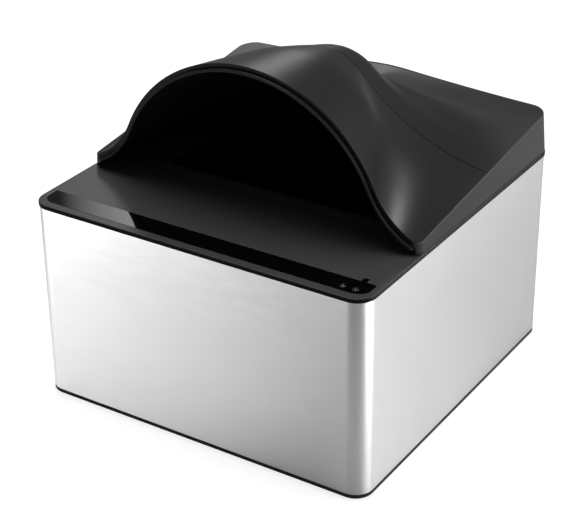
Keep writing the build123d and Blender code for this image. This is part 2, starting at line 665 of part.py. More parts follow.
with BuildPart() as deck_screws:
    for x, y in DECK_TABS:
        with Locations((x, y)):
            screw(SCREW_3, 4, TAB_LOW)
deck_screws.part.label = "deck_screws"
export_step(deck_screws.part, "parts/deck_screws.step")

with BuildPart() as housing_screws:
    for x, y in BOX_SCREWS:
        with Locations((x, y + WINDOW_MID)):
            screw(SCREW_2, 5, SEAT_BOTTOM - 2)
housing_screws.part.label = "housing_screws"
export_step(housing_screws.part, "parts/housing_screws.step")

with BuildPart() as board_screws:
    for places, middle in ((board_posts, MAIN_MID), (camera_posts, WINDOW_MID)):
        for x, y in places:
            with Locations((x, y + middle)):
                screw(SCREW_2, 5, BOARD_TOP, up=False)
board_screws.part.label = "board_screws"
export_step(board_screws.part, "parts/board_screws.step")

# Hinges: a foot with one knuckle on the deck, and two ears on the hood
FOOT_THICK = 2.0
PLATE_FRONT, PLATE_BACK, PLATE_TOP = 89.0, 92.2, 125.5
HINGE_SCREW_Z = 122.0
HINGE_SCREWS = [side * HINGE_X + dx for side in (-1, 1) for dx in (-7, 7)]

for side, name in ((-1, "left"), (1, "right")):
    middle = side * HINGE_X
    with BuildPart() as hinge_bracket:
        with BuildSketch(Plane.XY.offset(DECK_TOP)):
            with Locations((middle, AXIS_Y - 11)):
                RectangleRounded(20, 13, 1.5)
        extrude(amount=FOOT_THICK)
        with BuildSketch(Plane.YZ.offset(middle - MID_KNUCKLE / 2)):
            with BuildLine():
                Polyline(
                    (AXIS_Y - 8.5, DECK_TOP), (AXIS_Y + 0.6, DECK_TOP), (AXIS_Y + KNUCKLE_R, AXIS_Z),
                    (AXIS_Y - KNUCKLE_R, AXIS_Z), (AXIS_Y - 8.5, DECK_TOP + FOOT_THICK), (AXIS_Y - 8.5, DECK_TOP),
                )
            make_face()
            with Locations((AXIS_Y, AXIS_Z)):
                Circle(KNUCKLE_R)
                Circle(PIN_R + PIN_PLAY, mode=Mode.SUBTRACT)
        extrude(amount=MID_KNUCKLE)
        with BuildSketch(Plane.XY.offset(DECK_TOP)):
            with Locations(*BRACKET_SCREWS):
                Circle(SCREW_2[0] + FIT)
        extrude(amount=FOOT_THICK, mode=Mode.SUBTRACT)
    hinge_bracket.part.label = f"hinge_bracket_{name}"
    export_step(hinge_bracket.part, f"parts/hinge_bracket_{name}.step")

with BuildPart() as bracket_screws:
    for x, y in BRACKET_SCREWS:
        with Locations((x, y)):
            screw(SCREW_2, 4.5, DECK_TOP + FOOT_THICK, up=False)
bracket_screws.part.label = "bracket_screws"
export_step(bracket_screws.part, "parts/bracket_screws.step")


# Hood


def station_value(column, y):
    """One column of the stations at y, on a cubic that never swings past its stations."""
    ys = [station[0] for station in HOOD_STATIONS]
    values = [station[column] for station in HOOD_STATIONS]
    steps = [b - a for a, b in zip(ys, ys[1:])]
    rises = [(b - a) / step for a, b, step in zip(values, values[1:], steps)]
    inner = [2 * a * b / (a + b) if a * b > 0 else 0.0 for a, b in zip(rises, rises[1:])]
    slopes = [rises[0], *inner, rises[-1]]
    if y <= ys[0]:
        return values[0] + slopes[0] * (y - ys[0])
    if y >= ys[-1]:
        return values[-1] + slopes[-1] * (y - ys[-1])
    i = max(k for k in range(len(steps)) if ys[k] <= y)
    t = (y - ys[i]) / steps[i]
    start = (1 + 2 * t) * (1 - t) ** 2 * values[i] + t * (1 - t) ** 2 * steps[i] * slopes[i]
    end = t * t * (3 - 2 * t) * values[i + 1] + t * t * (t - 1) * steps[i] * slopes[i + 1]
    return start + end


def hood_section(y):
    """The hood's section at y: a crown arc that runs into a hollow flare arc at each side.

    Returns the crown's height and radius, and the flare's centre and radius. The flare ends
    on the side wall's straight top edge, at the station's slope.
    """
    crown, radius, slope = (station_value(column, y) for column in (1, 2, 3))
    edge_z = HOOD_EDGE_FRONT + HOOD_EDGE_RISE * (y - HOOD_FRONT)
    edge_x = HOOD_HALF - HOOD_LEAN * (edge_z - HOOD_BOTTOM)
    drop = radius - (crown - edge_z)
    flare = (edge_x**2 + drop**2 - radius**2) / (2 * (radius - edge_x * sin(slope) - drop * cos(slope)))
    return crown, radius, edge_x + flare * sin(slope), edge_z + flare * cos(slope), flare


def below_skin(depth):
    """All that lies deeper than depth under the hood's top: a loft through its sections."""
    half, low = 100.0, 100.0
    first, last, count = -51.0, 98.0, 25
    with BuildPart() as space:
        for i in range(count):
            y = first + (last - first) * i / (count - 1)
            crown, radius, flare_x, flare_z, flare = hood_section(y)
            share = (radius - depth) / (radius + flare)
            join = (flare_x * share, crown - radius + (flare_z - crown + radius) * share)
            middle_x = (join[0] + half) / 2
            middle = (middle_x, flare_z - sqrt((flare + depth) ** 2 - (flare_x - middle_x) ** 2))
            end = (half, flare_z - sqrt((flare + depth) ** 2 - (flare_x - half) ** 2))
            with BuildSketch(Plane.XZ.offset(-y)):
                with BuildLine():
                    ThreePointArc((-join[0], join[1]), (0, crown - depth), join)
                    ThreePointArc(join, middle, end)
                    Polyline(end, (half, low), (-half, low), (-half, end[1]))
                    ThreePointArc((-half, end[1]), (-middle[0], middle[1]), (-join[0], join[1]))
                make_face()
        loft()
    return space.part


def between_walls(inset, front, nose):
    """The upright space inside the hood's leaning side and rear walls, behind the plane y = front.

    Its front corners have the radius nose.
    """
    tall = 90.0
    with BuildPart() as space:
        for z in (HOOD_BOTTOM, HOOD_BOTTOM + tall):
            inward = inset + HOOD_LEAN * (z - HOOD_BOTTOM)
            half, rear = HOOD_HALF - inward, HOOD_REAR - inward
            with BuildSketch(Plane.XY.offset(z)) as level:
                with Locations((0, (rear + front) / 2)):
                    Rectangle(2 * half, rear - front)
                fillet(level.vertices().group_by(Axis.Y)[-1], radius=HOOD_CORNER - inset)
                fillet(level.vertices().group_by(Axis.Y)[0], radius=nose)
        loft()
    return space.part


top_space = below_skin(0)
skin_space = below_skin(SKIN)
groove_space = below_skin(SKIN + GROOVE)
liner_space = below_skin(SKIN + LINER)
outer_walls = between_walls(0, HOOD_FRONT, HOOD_NOSE)
lip_walls = between_walls(WALL_LIP, HOOD_FRONT, HOOD_NOSE - WALL_LIP)
inner_walls = between_walls(WALL, HOOD_FRONT - 20, 1)
liner_walls = between_walls(WALL, LINER_FRONT, HOOD_NOSE - 0.5)

with BuildPart() as skin_seat:
    add(lip_walls)
    add(skin_space, mode=Mode.SUBTRACT)

# what lies behind the hinge's axis, below it and outside the radius that clears the deck
with BuildPart() as behind_hinge:
    with BuildSketch(Plane.YZ.offset(-100)):
        with Locations((AXIS_Y + 10, AXIS_Z - 10)):
            Rectangle(20, 20)
        with Locations((AXIS_Y, AXIS_Z)):
            Circle(ROUNDED_R, mode=Mode.SUBTRACT)
    extrude(amount=200)

# side and rear walls in one piece, with a thin lip round the skins and notches for the hinges
with BuildPart() as hood_frame:
    add(outer_walls)
    add(inner_walls, mode=Mode.SUBTRACT)
    add(top_space, mode=Mode.INTERSECT)
    add(skin_seat.part, mode=Mode.SUBTRACT)
    add(behind_hinge.part, mode=Mode.SUBTRACT)
    with Locations(*[(side * HINGE_X, HOOD_REAR - WALL, (HOOD_BOTTOM + NOTCH_TOP) / 2) for side in (-1, 1)]):
        Box(2 * NOTCH_HALF, 4 * WALL, NOTCH_TOP - HOOD_BOTTOM, mode=Mode.SUBTRACT)
    # pilot holes from inside into the rear wall
    with BuildSketch(Plane.XZ.offset(-PLATE_FRONT)):
        with Locations(*[(x, HINGE_SCREW_Z) for x in HINGE_SCREWS]):
            Circle(SCREW_2[0] + FIT)
    extrude(amount=-4.6, mode=Mode.SUBTRACT)
hood_frame.part.label = "hood_frame"
export_step(hood_frame.part, "parts/hood_frame.step")

SKIN_SPANS = (
    ("hood_front_skin", -200, SEAM_Y - SEAM_GAP / 2),
    ("hood_rear_skin", SEAM_Y + SEAM_GAP / 2, 200),
)
for name, start, end in SKIN_SPANS:
    with BuildPart() as hood_skin:
        add(lip_walls)
        add(top_space, mode=Mode.INTERSECT)
        add(skin_space, mode=Mode.SUBTRACT)
        with Locations((0, (start + end) / 2, 150)):
            Box(400, end - start, 200, mode=Mode.INTERSECT)
    hood_skin.part.label = name
    export_step(hood_skin.part, f"parts/{name}.step")

# dark inner shell, 2 mm forward of the skin, with a groove between the two rims and a wall at its back
with BuildPart() as hood_liner:
    add(liner_walls)
    add(skin_space, mode=Mode.INTERSECT)
    with BuildPart(mode=Mode.PRIVATE) as hollow:
        add(liner_space)
        with Locations((0, LINER_BACK - 2 - 200, 150)):
            Box(400, 400, 200, mode=Mode.INTERSECT)
    add(hollow.part, mode=Mode.SUBTRACT)
    with BuildPart(mode=Mode.PRIVATE) as groove:
        with Locations((0, HOOD_FRONT + 3 - 100, 150)):
            Box(400, 200, 200)
        add(groove_space, mode=Mode.SUBTRACT)
    add(groove.part, mode=Mode.SUBTRACT)
    with Locations((0, LINER_BACK + 100, 150)):
        Box(400, 200, 200, mode=Mode.SUBTRACT)
hood_liner.part.label = "hood_liner"
export_step(hood_liner.part, "parts/hood_liner.step")

BUMPER_X, BUMPER_YS = 94.0, (-38.0, 68.0)

with BuildPart() as hood_bumpers:
    with BuildSketch(Plane.XY.offset(HOOD_BOTTOM)):
        with Locations(*[(side * BUMPER_X, y) for side in (-1, 1) for y in BUMPER_YS]):
            RectangleRounded(2, 9, 0.6)
    extrude(amount=-0.2)
hood_bumpers.part.label = "hood_bumpers"
export_step(hood_bumpers.part, "parts/hood_bumpers.step")

for side, name in ((-1, "left"), (1, "right")):
    middle = side * HINGE_X
    with BuildPart() as hood_hinge:
        for ear in (-1, 1):
            start = middle + ear * (MID_KNUCKLE / 2 + EAR_GAP + EAR_WIDE / 2) - EAR_WIDE / 2
            with BuildSketch(Plane.YZ.offset(start)):
                with BuildLine():
                    Polyline(
                        (AXIS_Y - KNUCKLE_R, AXIS_Z), (AXIS_Y, AXIS_Z), (AXIS_Y, AXIS_Z + KNUCKLE_R),
                        (PLATE_BACK, 117.2), (PLATE_BACK, 122), (PLATE_FRONT, 122), (PLATE_FRONT, 117.2),
                        (AXIS_Y - KNUCKLE_R, AXIS_Z),
                    )
                make_face()
                with Locations((AXIS_Y, AXIS_Z)):
                    Circle(KNUCKLE_R)
                    Circle(PIN_R, mode=Mode.SUBTRACT)
            extrude(amount=EAR_WIDE)
        with BuildPart(mode=Mode.PRIVATE) as plate:
            with Locations((middle, PLATE_BACK, (NOTCH_TOP + PLATE_TOP) / 2)):
                Box(2 * NOTCH_HALF, 2 * (PLATE_BACK - PLATE_FRONT), PLATE_TOP - NOTCH_TOP)
            add(inner_walls, mode=Mode.INTERSECT)
        add(plate.part)
        with BuildSketch(Plane.XZ.offset(-PLATE_FRONT)):
            with Locations(*[(x, HINGE_SCREW_Z) for x in HINGE_SCREWS]):
                Circle(SCREW_2[0] + FIT)
        extrude(amount=-5, mode=Mode.SUBTRACT)
    hood_hinge.part.label = f"hood_hinge_{name}"
    export_step(hood_hinge.part, f"parts/hood_hinge_{name}.step")

with BuildPart() as hinge_pins:
    half_pin = MID_KNUCKLE / 2 + EAR_GAP + EAR_WIDE
    for side in (-1, 1):
        with BuildSketch(Plane.YZ.offset(side * HINGE_X - half_pin)):
            with Locations((AXIS_Y, AXIS_Z)):
                Circle(PIN_R)
        extrude(amount=2 * half_pin)
hinge_pins.part.label = "hinge_pins"
export_step(hinge_pins.part, "parts/hinge_pins.step")

with BuildPart() as hood_screws:
    with BuildSketch(Plane.XZ.offset(-PLATE_FRONT)):
        with Locations(*[(x, HINGE_SCREW_Z) for x in HINGE_SCREWS]):
            Circle(SCREW_2[1])
    extrude(amount=SCREW_2[2])
    with BuildSketch(Plane.XZ.offset(-PLATE_FRONT)):
        with Locations(*[(x, HINGE_SCREW_Z) for x in HINGE_SCREWS]):
            Circle(SCREW_2[0])
    extrude(amount=-4.5)
hood_screws.part.label = "hood_screws"
export_step(hood_screws.part, "parts/hood_screws.step")
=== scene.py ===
import bmesh
import bpy
from math import cos, pi, radians, sin, sqrt
from mathutils import Matrix, Vector


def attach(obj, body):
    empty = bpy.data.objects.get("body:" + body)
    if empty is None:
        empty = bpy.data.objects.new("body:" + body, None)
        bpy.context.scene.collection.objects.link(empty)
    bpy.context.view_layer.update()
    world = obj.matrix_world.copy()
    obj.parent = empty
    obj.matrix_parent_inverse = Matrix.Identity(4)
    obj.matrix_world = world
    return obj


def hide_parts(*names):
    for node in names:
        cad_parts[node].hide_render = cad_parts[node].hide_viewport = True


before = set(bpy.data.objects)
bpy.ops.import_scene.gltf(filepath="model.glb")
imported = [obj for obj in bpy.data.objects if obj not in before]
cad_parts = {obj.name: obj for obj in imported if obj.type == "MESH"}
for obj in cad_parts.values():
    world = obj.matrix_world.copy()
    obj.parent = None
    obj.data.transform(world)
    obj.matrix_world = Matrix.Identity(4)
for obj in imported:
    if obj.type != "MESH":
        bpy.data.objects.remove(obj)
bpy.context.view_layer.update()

# Camera: a long lens from the front right, a little above the scanner, as a catalogue picture
# is taken. The picture is 580 pixels wide, and its middle lies a few pixels off the lens's axis.
PICTURE_WIDE, PICTURE_HIGH = 580, 516
LENS_PIXELS = 1705.8
AXIS_PIXEL = (290.47, 240.01)
TURN, RISE, ROLL = radians(32.853), radians(27.953), radians(-0.605)
DISTANCE, SIDESTEP, LIFT = 0.91589, -0.005103, 0.062393

back = Vector((sin(TURN) * cos(RISE), -cos(TURN) * cos(RISE), sin(RISE)))
level = Vector((cos(TURN), sin(TURN), 0))
upright = back.cross(level)
right = level * cos(ROLL) + upright * sin(ROLL)
up = upright * cos(ROLL) - level * sin(ROLL)
eye = back * DISTANCE + right * SIDESTEP + up * LIFT

camera = bpy.data.objects.new("camera", bpy.data.cameras.new("camera"))
bpy.context.scene.collection.objects.link(camera)
camera.matrix_world = Matrix((
    (right.x, up.x, back.x, eye.x),
    (right.y, up.y, back.y, eye.y),
    (right.z, up.z, back.z, eye.z),
    (0, 0, 0, 1),
))
camera.data.sensor_width = 36
camera.data.lens = LENS_PIXELS / PICTURE_WIDE * camera.data.sensor_width
camera.data.shift_x = (PICTURE_WIDE / 2 - AXIS_PIXEL[0]) / PICTURE_WIDE
camera.data.shift_y = (AXIS_PIXEL[1] - PICTURE_HIGH / 2) / PICTURE_WIDE
camera.data.clip_start = 0.01
camera.data.clip_end = 50
bpy.context.scene.camera = camera
bpy.context.scene.view_settings.view_transform = "Standard"

# Studio: a white sweep under the scanner, a large soft lamp above it, two on its right, and a
# weak even light from all round. Cards that fade towards their edges show in glossy surfaces.


class Signal:
    """One output of a node. Sums on it add the Math nodes that work them out."""

    def __init__(self, nodes, socket):
        self.nodes = nodes
        self.socket = socket

    def math(self, operation, *others):
        return self.nodes.node("ShaderNodeMath", (self, *others), operation=operation)

    def __add__(self, other):
        return self.math("ADD", other)

    def __sub__(self, other):
        return self.math("SUBTRACT", other)

    def __rsub__(self, other):
        return self.nodes.node("ShaderNodeMath", (other, self), operation="SUBTRACT")

    def __mul__(self, other):
        return self.math("MULTIPLY", other)

    def __truediv__(self, other):
        return self.math("DIVIDE", other)

    def __lt__(self, other):
        return self.math("LESS_THAN", other)

    def __gt__(self, other):
        return self.math("GREATER_THAN", other)

    __radd__ = __add__
    __rmul__ = __mul__


class Nodes:
    """A tree of nodes. node() adds one and gives one of its outputs."""

    def __init__(self, tree):
        self.tree = tree
        tree.nodes.clear()

    def node(self, kind, inputs=(), output=0, **settings):
        made = self.tree.nodes.new(kind)
        for name, value in settings.items():
            setattr(made, name, value)
        for key, value in inputs.items() if isinstance(inputs, dict) else enumerate(inputs):
            for one in value if isinstance(value, list) else [value]:
                if isinstance(one, Signal):
                    self.tree.links.new(one.socket, made.inputs[key])
                else:
                    made.inputs[key].default_value = one
        return Signal(self, made.outputs[output])


class Paint(Nodes):
    """The shader of one material, lamp or world."""

    def __init__(self, owner):
        owner.use_nodes = True
        super().__init__(owner.node_tree)
        self.owner = owner

    def place(self):
        """Where a point of the piece lies, in metres."""
        return self.node("ShaderNodeTexCoord", output="Object")

    def noise(self, scale, detail=2.0, where=None):
        inputs = {"Vector": where or self.place(), "Scale": scale, "Detail": detail}
        return self.node("ShaderNodeTexNoise", inputs)

    def between(self, factor, first, second):
        """A colour that turns from the first to the second as the factor rises."""
        first, second = (c if isinstance(c, Signal) else (*c, 1) for c in (first, second))
        return self.node("ShaderNodeMix", {0: factor, 6: first, 7: second}, output=2, data_type="RGBA")

    def relief(self, height, depth, strength=0.6):
        return self.node("ShaderNodeBump", {"Strength": strength, "Distance": depth, "Height": height})

    def plain(self, **sockets):
        """Ends the material in one shader, whose sockets are named with an underscore for each space."""
        inputs = {name.replace("_", " "): value for name, value in sockets.items()}
        return self.end(self.node("ShaderNodeBsdfPrincipled", inputs))

    def end(self, shader):
        """Ends the tree in this shader and gives the material, lamp or world back."""
        kind = {"World": "ShaderNodeOutputWorld", "Material": "ShaderNodeOutputMaterial"}.get(
            type(self.owner).__name__, "ShaderNodeOutputLight")
        self.tree.links.new(shader.socket, self.tree.nodes.new(kind).inputs["Surface"])
        return self.owner


def rays(paint):
    """1 on rays from the camera, and 1 on rays that a glossy or clear surface sends on."""
    seen, mirrored, through = (
        paint.node("ShaderNodeLightPath", output=f"Is {kind} Ray")
        for kind in ("Camera", "Glossy", "Transmission")
    )
    return seen, mirrored + through


# how strongly the world lights what is dull, and how bright metal and glass show it
WORLD_LIGHT, WORLD_MIRRORED = 0.14, 0.12
world = bpy.data.worlds.new("studio")
bpy.context.scene.world = world
air = Paint(world)
seen, sent_on = rays(air)
strength = seen * (1 - WORLD_LIGHT) + sent_on * (WORLD_MIRRORED - WORLD_LIGHT) + WORLD_LIGHT
air.end(air.node("ShaderNodeBackground", {"Color": (1, 1, 1, 1), "Strength": strength}))

FLOOR_SIDE = 6.0
# how much the sweep glows to the camera, which share of the glow metal and glass show, and how
# white its paper is under the lamps
FLOOR_GLOW, FLOOR_MIRRORED, PAPER = 0.76, 0.0, 0.5
sweep = Paint(bpy.data.materials.new("white_sweep"))
seen, sent_on = rays(sweep)
glow = sweep.node("ShaderNodeEmission", {"Strength": (seen + sent_on * FLOOR_MIRRORED) * FLOOR_GLOW})
paper = sweep.node("ShaderNodeBsdfDiffuse", {"Color": (PAPER, PAPER, PAPER, 1)})
sweep.end(sweep.node("ShaderNodeAddShader", (glow, paper)))

half = FLOOR_SIDE / 2
floor_corners = [(-half, -half, 0), (half, -half, 0), (half, half, 0), (-half, half, 0)]
floor_mesh = bpy.data.meshes.new("floor")
floor_mesh.from_pydata(floor_corners, [], [(0, 1, 2, 3)])
floor_mesh.materials.append(sweep.owner)
floor = bpy.data.objects.new("floor", floor_mesh)
bpy.context.scene.collection.objects.link(floor)

# where each lamp hangs, where it points, its width and height, its watts, and whether it lights
# dull surfaces too or only shows in glossy ones, as a card does
LAMPS = {
    "overhead": ((-0.25, 0.16, 1.30), (0, 0, 0.1), 0.7, 0.7, 8.5, True),
    "front": ((-0.62, -0.66, 0.42), (0, 0, 0.02), 0.6, 0.5, 5.8, False),
    "front_card": ((-0.70, -0.60, 0.20), (0, 0, 0.04), 0.6, 0.3, 3.0, False),
    "floor_card": ((-0.19, -0.12, 0.0002), (-0.19, -0.12, 1.0), 0.48, 0.34, 0.12, False),
    "leg_card": ((0.54, 0.80, 0.66), (0.07, 0, 0.14), 0.30, 0.30, 1.0, False),
    "right": ((0.9, 0.7, 0.5), (0, 0, 0.05), 0.8, 0.8, 4.0, True),
    "side": ((1.05, 0.35, 0.75), (0, 0, 0.05), 0.6, 0.6, 4.0, True),
    "low_card": ((1.1, 0.1, 0.25), (0, 0, 0.05), 0.9, 0.5, 16.0, False),
    "left_card": ((-0.56, 1.08, 0.60), (0, 0, 0.12), 0.30, 0.70, 0.52, False),
    "left_wide": ((-0.776, 0.895, 0.72), (0, 0, 0.12), 0.26, 0.6, 0.5, False),
}
# a card's fade is 1 / 36 on average, so this gain keeps its watts as they are given
FADE_GAIN = 36
for name, (place, target, wide, high, watts, dull) in LAMPS.items():
    lamp = bpy.data.lights.new(name, "AREA")
    lamp.shape = "RECTANGLE"
    lamp.size, lamp.size_y, lamp.energy = wide, high, watts
    hung = bpy.data.objects.new(name, lamp)
    hung.location = place
    hung.rotation_euler = (Vector(target) - Vector(place)).to_track_quat("-Z", "Y").to_euler()
    if not dull:
        card = Paint(lamp)
        spot = card.node("ShaderNodeNewGeometry", output="Parametric")
        across, along = (card.node("ShaderNodeSeparateXYZ", [spot], output=axis) for axis in "XY")
        fade = across * (1 - across) * along * (1 - along) * FADE_GAIN
        card.end(card.node("ShaderNodeEmission", {"Strength": fade}))
    hung.visible_diffuse = dull
    hung.visible_camera = False
    bpy.context.scene.collection.objects.link(hung)

# Bottom tray: a moulded black tray that closes the case from below, with posts for the boards.
# Only its edge shows, as a thin dark line under the band. All mouldings have a fine grain.
MM = 0.001


def added(name, mesh, sharp=35):
    """An object at the origin with this mesh, shaded smooth up to the sharp angle."""
    mesh.shade_smooth()
    mesh.set_sharp_from_angle(angle=radians(sharp))
    piece = bpy.data.objects.new(name, mesh)
    bpy.context.scene.collection.objects.link(piece)
    return piece


def finished(piece):
    """The same piece with its modifiers turned into plain mesh."""
    mesh = bpy.data.meshes.new_from_object(piece.evaluated_get(bpy.context.evaluated_depsgraph_get()))
    piece.modifiers.clear()
    piece.data = mesh
    return piece


def eased(name, node, radius, steps=2):
    """A solid's shape with its sharp edges rounded, as a mould or a deburring tool leaves them."""
    shape = bmesh.new()
    shape.from_mesh(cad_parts[node].data)
    bmesh.ops.remove_doubles(shape, verts=shape.verts, dist=2e-6)
    bmesh.ops.dissolve_limit(shape, angle_limit=radians(0.5), verts=shape.verts, edges=shape.edges)
    mesh = bpy.data.meshes.new(name)
    shape.to_mesh(mesh)
    shape.free()
    piece = added(name, mesh)
    bevel = piece.modifiers.new("edges", "BEVEL")
    bevel.width, bevel.segments = radius * MM, steps
    bevel.limit_method, bevel.angle_limit = "ANGLE", radians(30)
    bevel.use_clamp_overlap = False
    bevel.harden_normals = True
    return finished(piece)


def moulded(name, colour, roughness, grain=2600.0, depth=0.00003, tint=0.08, **sockets):
    """Moulded plastic: an even colour with a faint cloud in it, and a fine leathery grain."""
    paint = Paint(bpy.data.materials.new(name))
    fine, cloud = paint.noise(grain, 3.0), paint.noise(22.0)
    shade = paint.between(cloud, [c * (1 - tint) for c in colour], [c * (1 + tint) for c in colour])
    rough = (cloud - 0.5) * 0.05 + (fine - 0.5) * 0.06 + roughness
    return paint.plain(Base_Color=shade, Roughness=rough, Normal=paint.relief(fine, depth), **sockets)


def finish(material, *nodes):
    """Gives solids that keep their own mesh a material."""
    for node in nodes:
        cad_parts[node].data.materials.clear()
        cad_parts[node].data.materials.append(material)


def dress(piece, material, body, slot, *nodes):
    """Gives a piece its material and body, and names the solids that it stands for. Its slot is not used."""
    piece.data.materials.clear()
    piece.data.materials.append(material)
    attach(piece, body)
    if nodes:
        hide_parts(*nodes)


case_black = moulded("case_black", (0.010, 0.010, 0.011), 0.38)
dress(eased("tray", "bottom_tray", 0.25), case_black, "base", "black_case", "bottom_tray")

# Feet: four soft rubber discs pressed into seats under the tray. They stand half a millimetre
# proud, which leaves a thin dark gap over the desk.
soft_rubber = moulded("soft_rubber", (0.022, 0.022, 0.022), 0.75, grain=900.0, depth=0.00008, tint=0.2)
dress(eased("feet", "rubber_feet", 0.12), soft_rubber, "base", "rubber", "rubber_feet")

# Case band: aluminium sheet wrapped round the four sides and finished satin. Its ends meet in
# the middle of the back, where a window is cut for the rear panel.
CASE_X, CASE_Y, CASE_CORNER = 95.0, 95.6, 9.4
BAND_BOTTOM, BAND_TOP = 2.6, 106.8
SHEET, SHEET_ROUND = 1.5, 0.25
CORNER_STEPS = 12
WINDOW_HALF, WINDOW_LOW, WINDOW_HIGH, WINDOW_CORNER = 62.0, 7.5, 52.0, 3
JOINT_WIDE, JOINT_DEEP, JOINT_LOW, JOINT_HIGH = 0.2, 0.4, 50, 120
# how far a cut runs past the sheet, and how deep the satin's streaks are, in metres
PAST, STREAK_DEEP = 5, 0.000004


def rounded(half_x, half_y, radius):
    """Points round a rectangle with round corners, counter-clockwise, the same number for any size."""
    points = []
    for turn, (sx, sy) in enumerate(((1, 1), (-1, 1), (-1, -1), (1, -1))):
        for step in range(CORNER_STEPS + 1):
            angle = (turn + step / CORNER_STEPS) * pi / 2
            x = sx * (half_x - radius) + radius * cos(angle)
            y = sy * (half_y - radius) + radius * sin(angle)
            points.append((x, y))
    return points


def softened(corners, radius, steps=3):
    """A closed profile with each corner replaced by a curve about as large as radius."""
    points = []
    corners = [Vector(corner) for corner in corners]
    for corner, before, after in zip(corners, corners[-1:] + corners[:-1], corners[1:] + corners[:1]):
        start, end = (
            corner + (other - corner).normalized() * min(radius, (other - corner).length * 0.45)
            for other in (before, after)
        )
        for step in range(steps + 1):
            t = step / steps
            points.append(start * (1 - t) ** 2 + corner * 2 * t * (1 - t) + end * t * t)
    return points


def closed(name, points, faces, sharp=35):
    """A piece from points in millimetres, its doubles merged and its faces outwards."""
    mesh = bpy.data.meshes.new(name)
    mesh.from_pydata([tuple(c * MM for c in point) for point in points], [], faces)
    shape = bmesh.new()
    shape.from_mesh(mesh)
    bmesh.ops.remove_doubles(shape, verts=shape.verts, dist=1e-7)
    bmesh.ops.recalc_face_normals(shape, faces=shape.faces)
    shape.to_mesh(mesh)
    shape.free()
    return added(name, mesh, sharp)


def joined(name, rows, ring=False):
    """A mesh through rows of points, each row closed. It runs on into a ring, or its ends have caps."""
    count = len(rows[0])
    faces = []
    for i in range(len(rows) if ring else len(rows) - 1):
        low, high = i * count, (i + 1) % len(rows) * count
        for k in range(count):
            after = (k + 1) % count
            faces.append((low + k, low + after, high + after, high + k))
    if not ring:
        faces.append(tuple(range(count))[::-1])
        faces.append(tuple(range((len(rows) - 1) * count, len(rows) * count)))
    return closed(name, [point for row in rows for point in row], faces)


def carved(piece, *cutters):
    """The piece with these other pieces cut out of it."""
    for cutter in cutters:
        cut = piece.modifiers.new("cut", "BOOLEAN")
        cut.object = cutter
        cut.solver = "EXACT"
    name, mesh = piece.name, finished(piece).data
    for spent in (piece, *cutters):
        bpy.data.objects.remove(spent)
    return added(name, mesh)


def satin(name, colour, roughness, streak=(60, 60, 1400)):
    """Satin metal: fine parallel streaks in its gloss, and a faint cloud."""
    paint = Paint(bpy.data.materials.new(name))
    drawn = paint.node("ShaderNodeMapping", {"Vector": paint.place(), "Scale": streak})
    lines, cloud = paint.noise(1.0, 4.0, drawn), paint.noise(9.0)
    shade = paint.between(lines, [c * 0.96 for c in colour], colour)
    rough = (lines - 0.5) * 0.12 + (cloud - 0.5) * 0.04 + roughness
    return paint.plain(
        Base_Color=shade, Roughness=rough, Normal=paint.relief(lines, STREAK_DEEP, 0.4), Metallic=1.0,
        Anisotropic=0.6, Anisotropic_Rotation=0.25)


silver = satin("silver_satin", (0.82, 0.82, 0.83), 0.40)
sheet = softened([(0, BAND_BOTTOM), (0, BAND_TOP), (SHEET, BAND_TOP), (SHEET, BAND_BOTTOM)], SHEET_ROUND)
band = joined("band", [
    [(x, y, height) for x, y in rounded(CASE_X - depth, CASE_Y - depth, CASE_CORNER - depth)]
    for depth, height in sheet
], ring=True)
window_mid = (WINDOW_LOW + WINDOW_HIGH) / 2
window_edge = rounded(WINDOW_HALF, (WINDOW_HIGH - WINDOW_LOW) / 2, WINDOW_CORNER)
window = joined("window", [
    [(x, y, z + window_mid) for x, z in window_edge] for y in (CASE_Y - PAST, CASE_Y + PAST)
])
joint_edge = [(-1, JOINT_LOW), (1, JOINT_LOW), (1, JOINT_HIGH), (-1, JOINT_HIGH)]
joint = joined("joint", [
    [(sx * JOINT_WIDE / 2, y, z) for sx, z in joint_edge] for y in (CASE_Y - JOINT_DEEP, CASE_Y + PAST)
])
wrap = carved(band, window, joint)
dress(wrap, silver, "base", "silver_band", "case_band")

# these cards are strong, so they show in the metal alone and not in the black parts
band_only = bpy.data.collections.new("band_only")
band_only.objects.link(wrap)
for name in ("front", "front_card", "floor_card", "low_card"):
    bpy.data.objects[name].light_linking.receiver_collection = band_only

# Rear panel: a black moulding behind the band's window, with air slots and the two sockets.
# The data socket is folded steel round a dark tongue, and the power socket has a steel pin.
PORT_X, USB_MID, JACK_MID = 28.0, 15.55, 16.4
TONGUE_X, TONGUE_Z, JACK_PIN = 2.95, 1.7, 1.2

dress(eased("panel", "rear_panel", 0.2), case_black, "base", "black_case", "rear_panel")


def within(paint, axes, middles, halves):
    """1 where a point lies in this box, given along two axes in millimetres, and 0 elsewhere."""
    away = []
    for axis, middle in zip(axes, middles):
        along = paint.node("ShaderNodeSeparateXYZ", [paint.place()], output=axis) * (1 / MM)
        away.append((along - middle).math("ABSOLUTE"))
    return (away[0] < halves[0]) * (away[1] < halves[1])


port = Paint(bpy.data.materials.new("port_steel"))
tongue = within(port, "XZ", (PORT_X, USB_MID), (TONGUE_X, TONGUE_Z))
scratches = port.noise(1800.0, 3.0)
port.plain(
    Base_Color=port.between(tongue, (0.58, 0.58, 0.59), (0.03, 0.03, 0.035)), Metallic=1 - tongue,
    Roughness=scratches * 0.16 + 0.22, Normal=port.relief(scratches, 0.000004, 0.4))
dress(eased("data_port", "usb_socket", 0.15), port.owner, "base", "steel", "usb_socket")

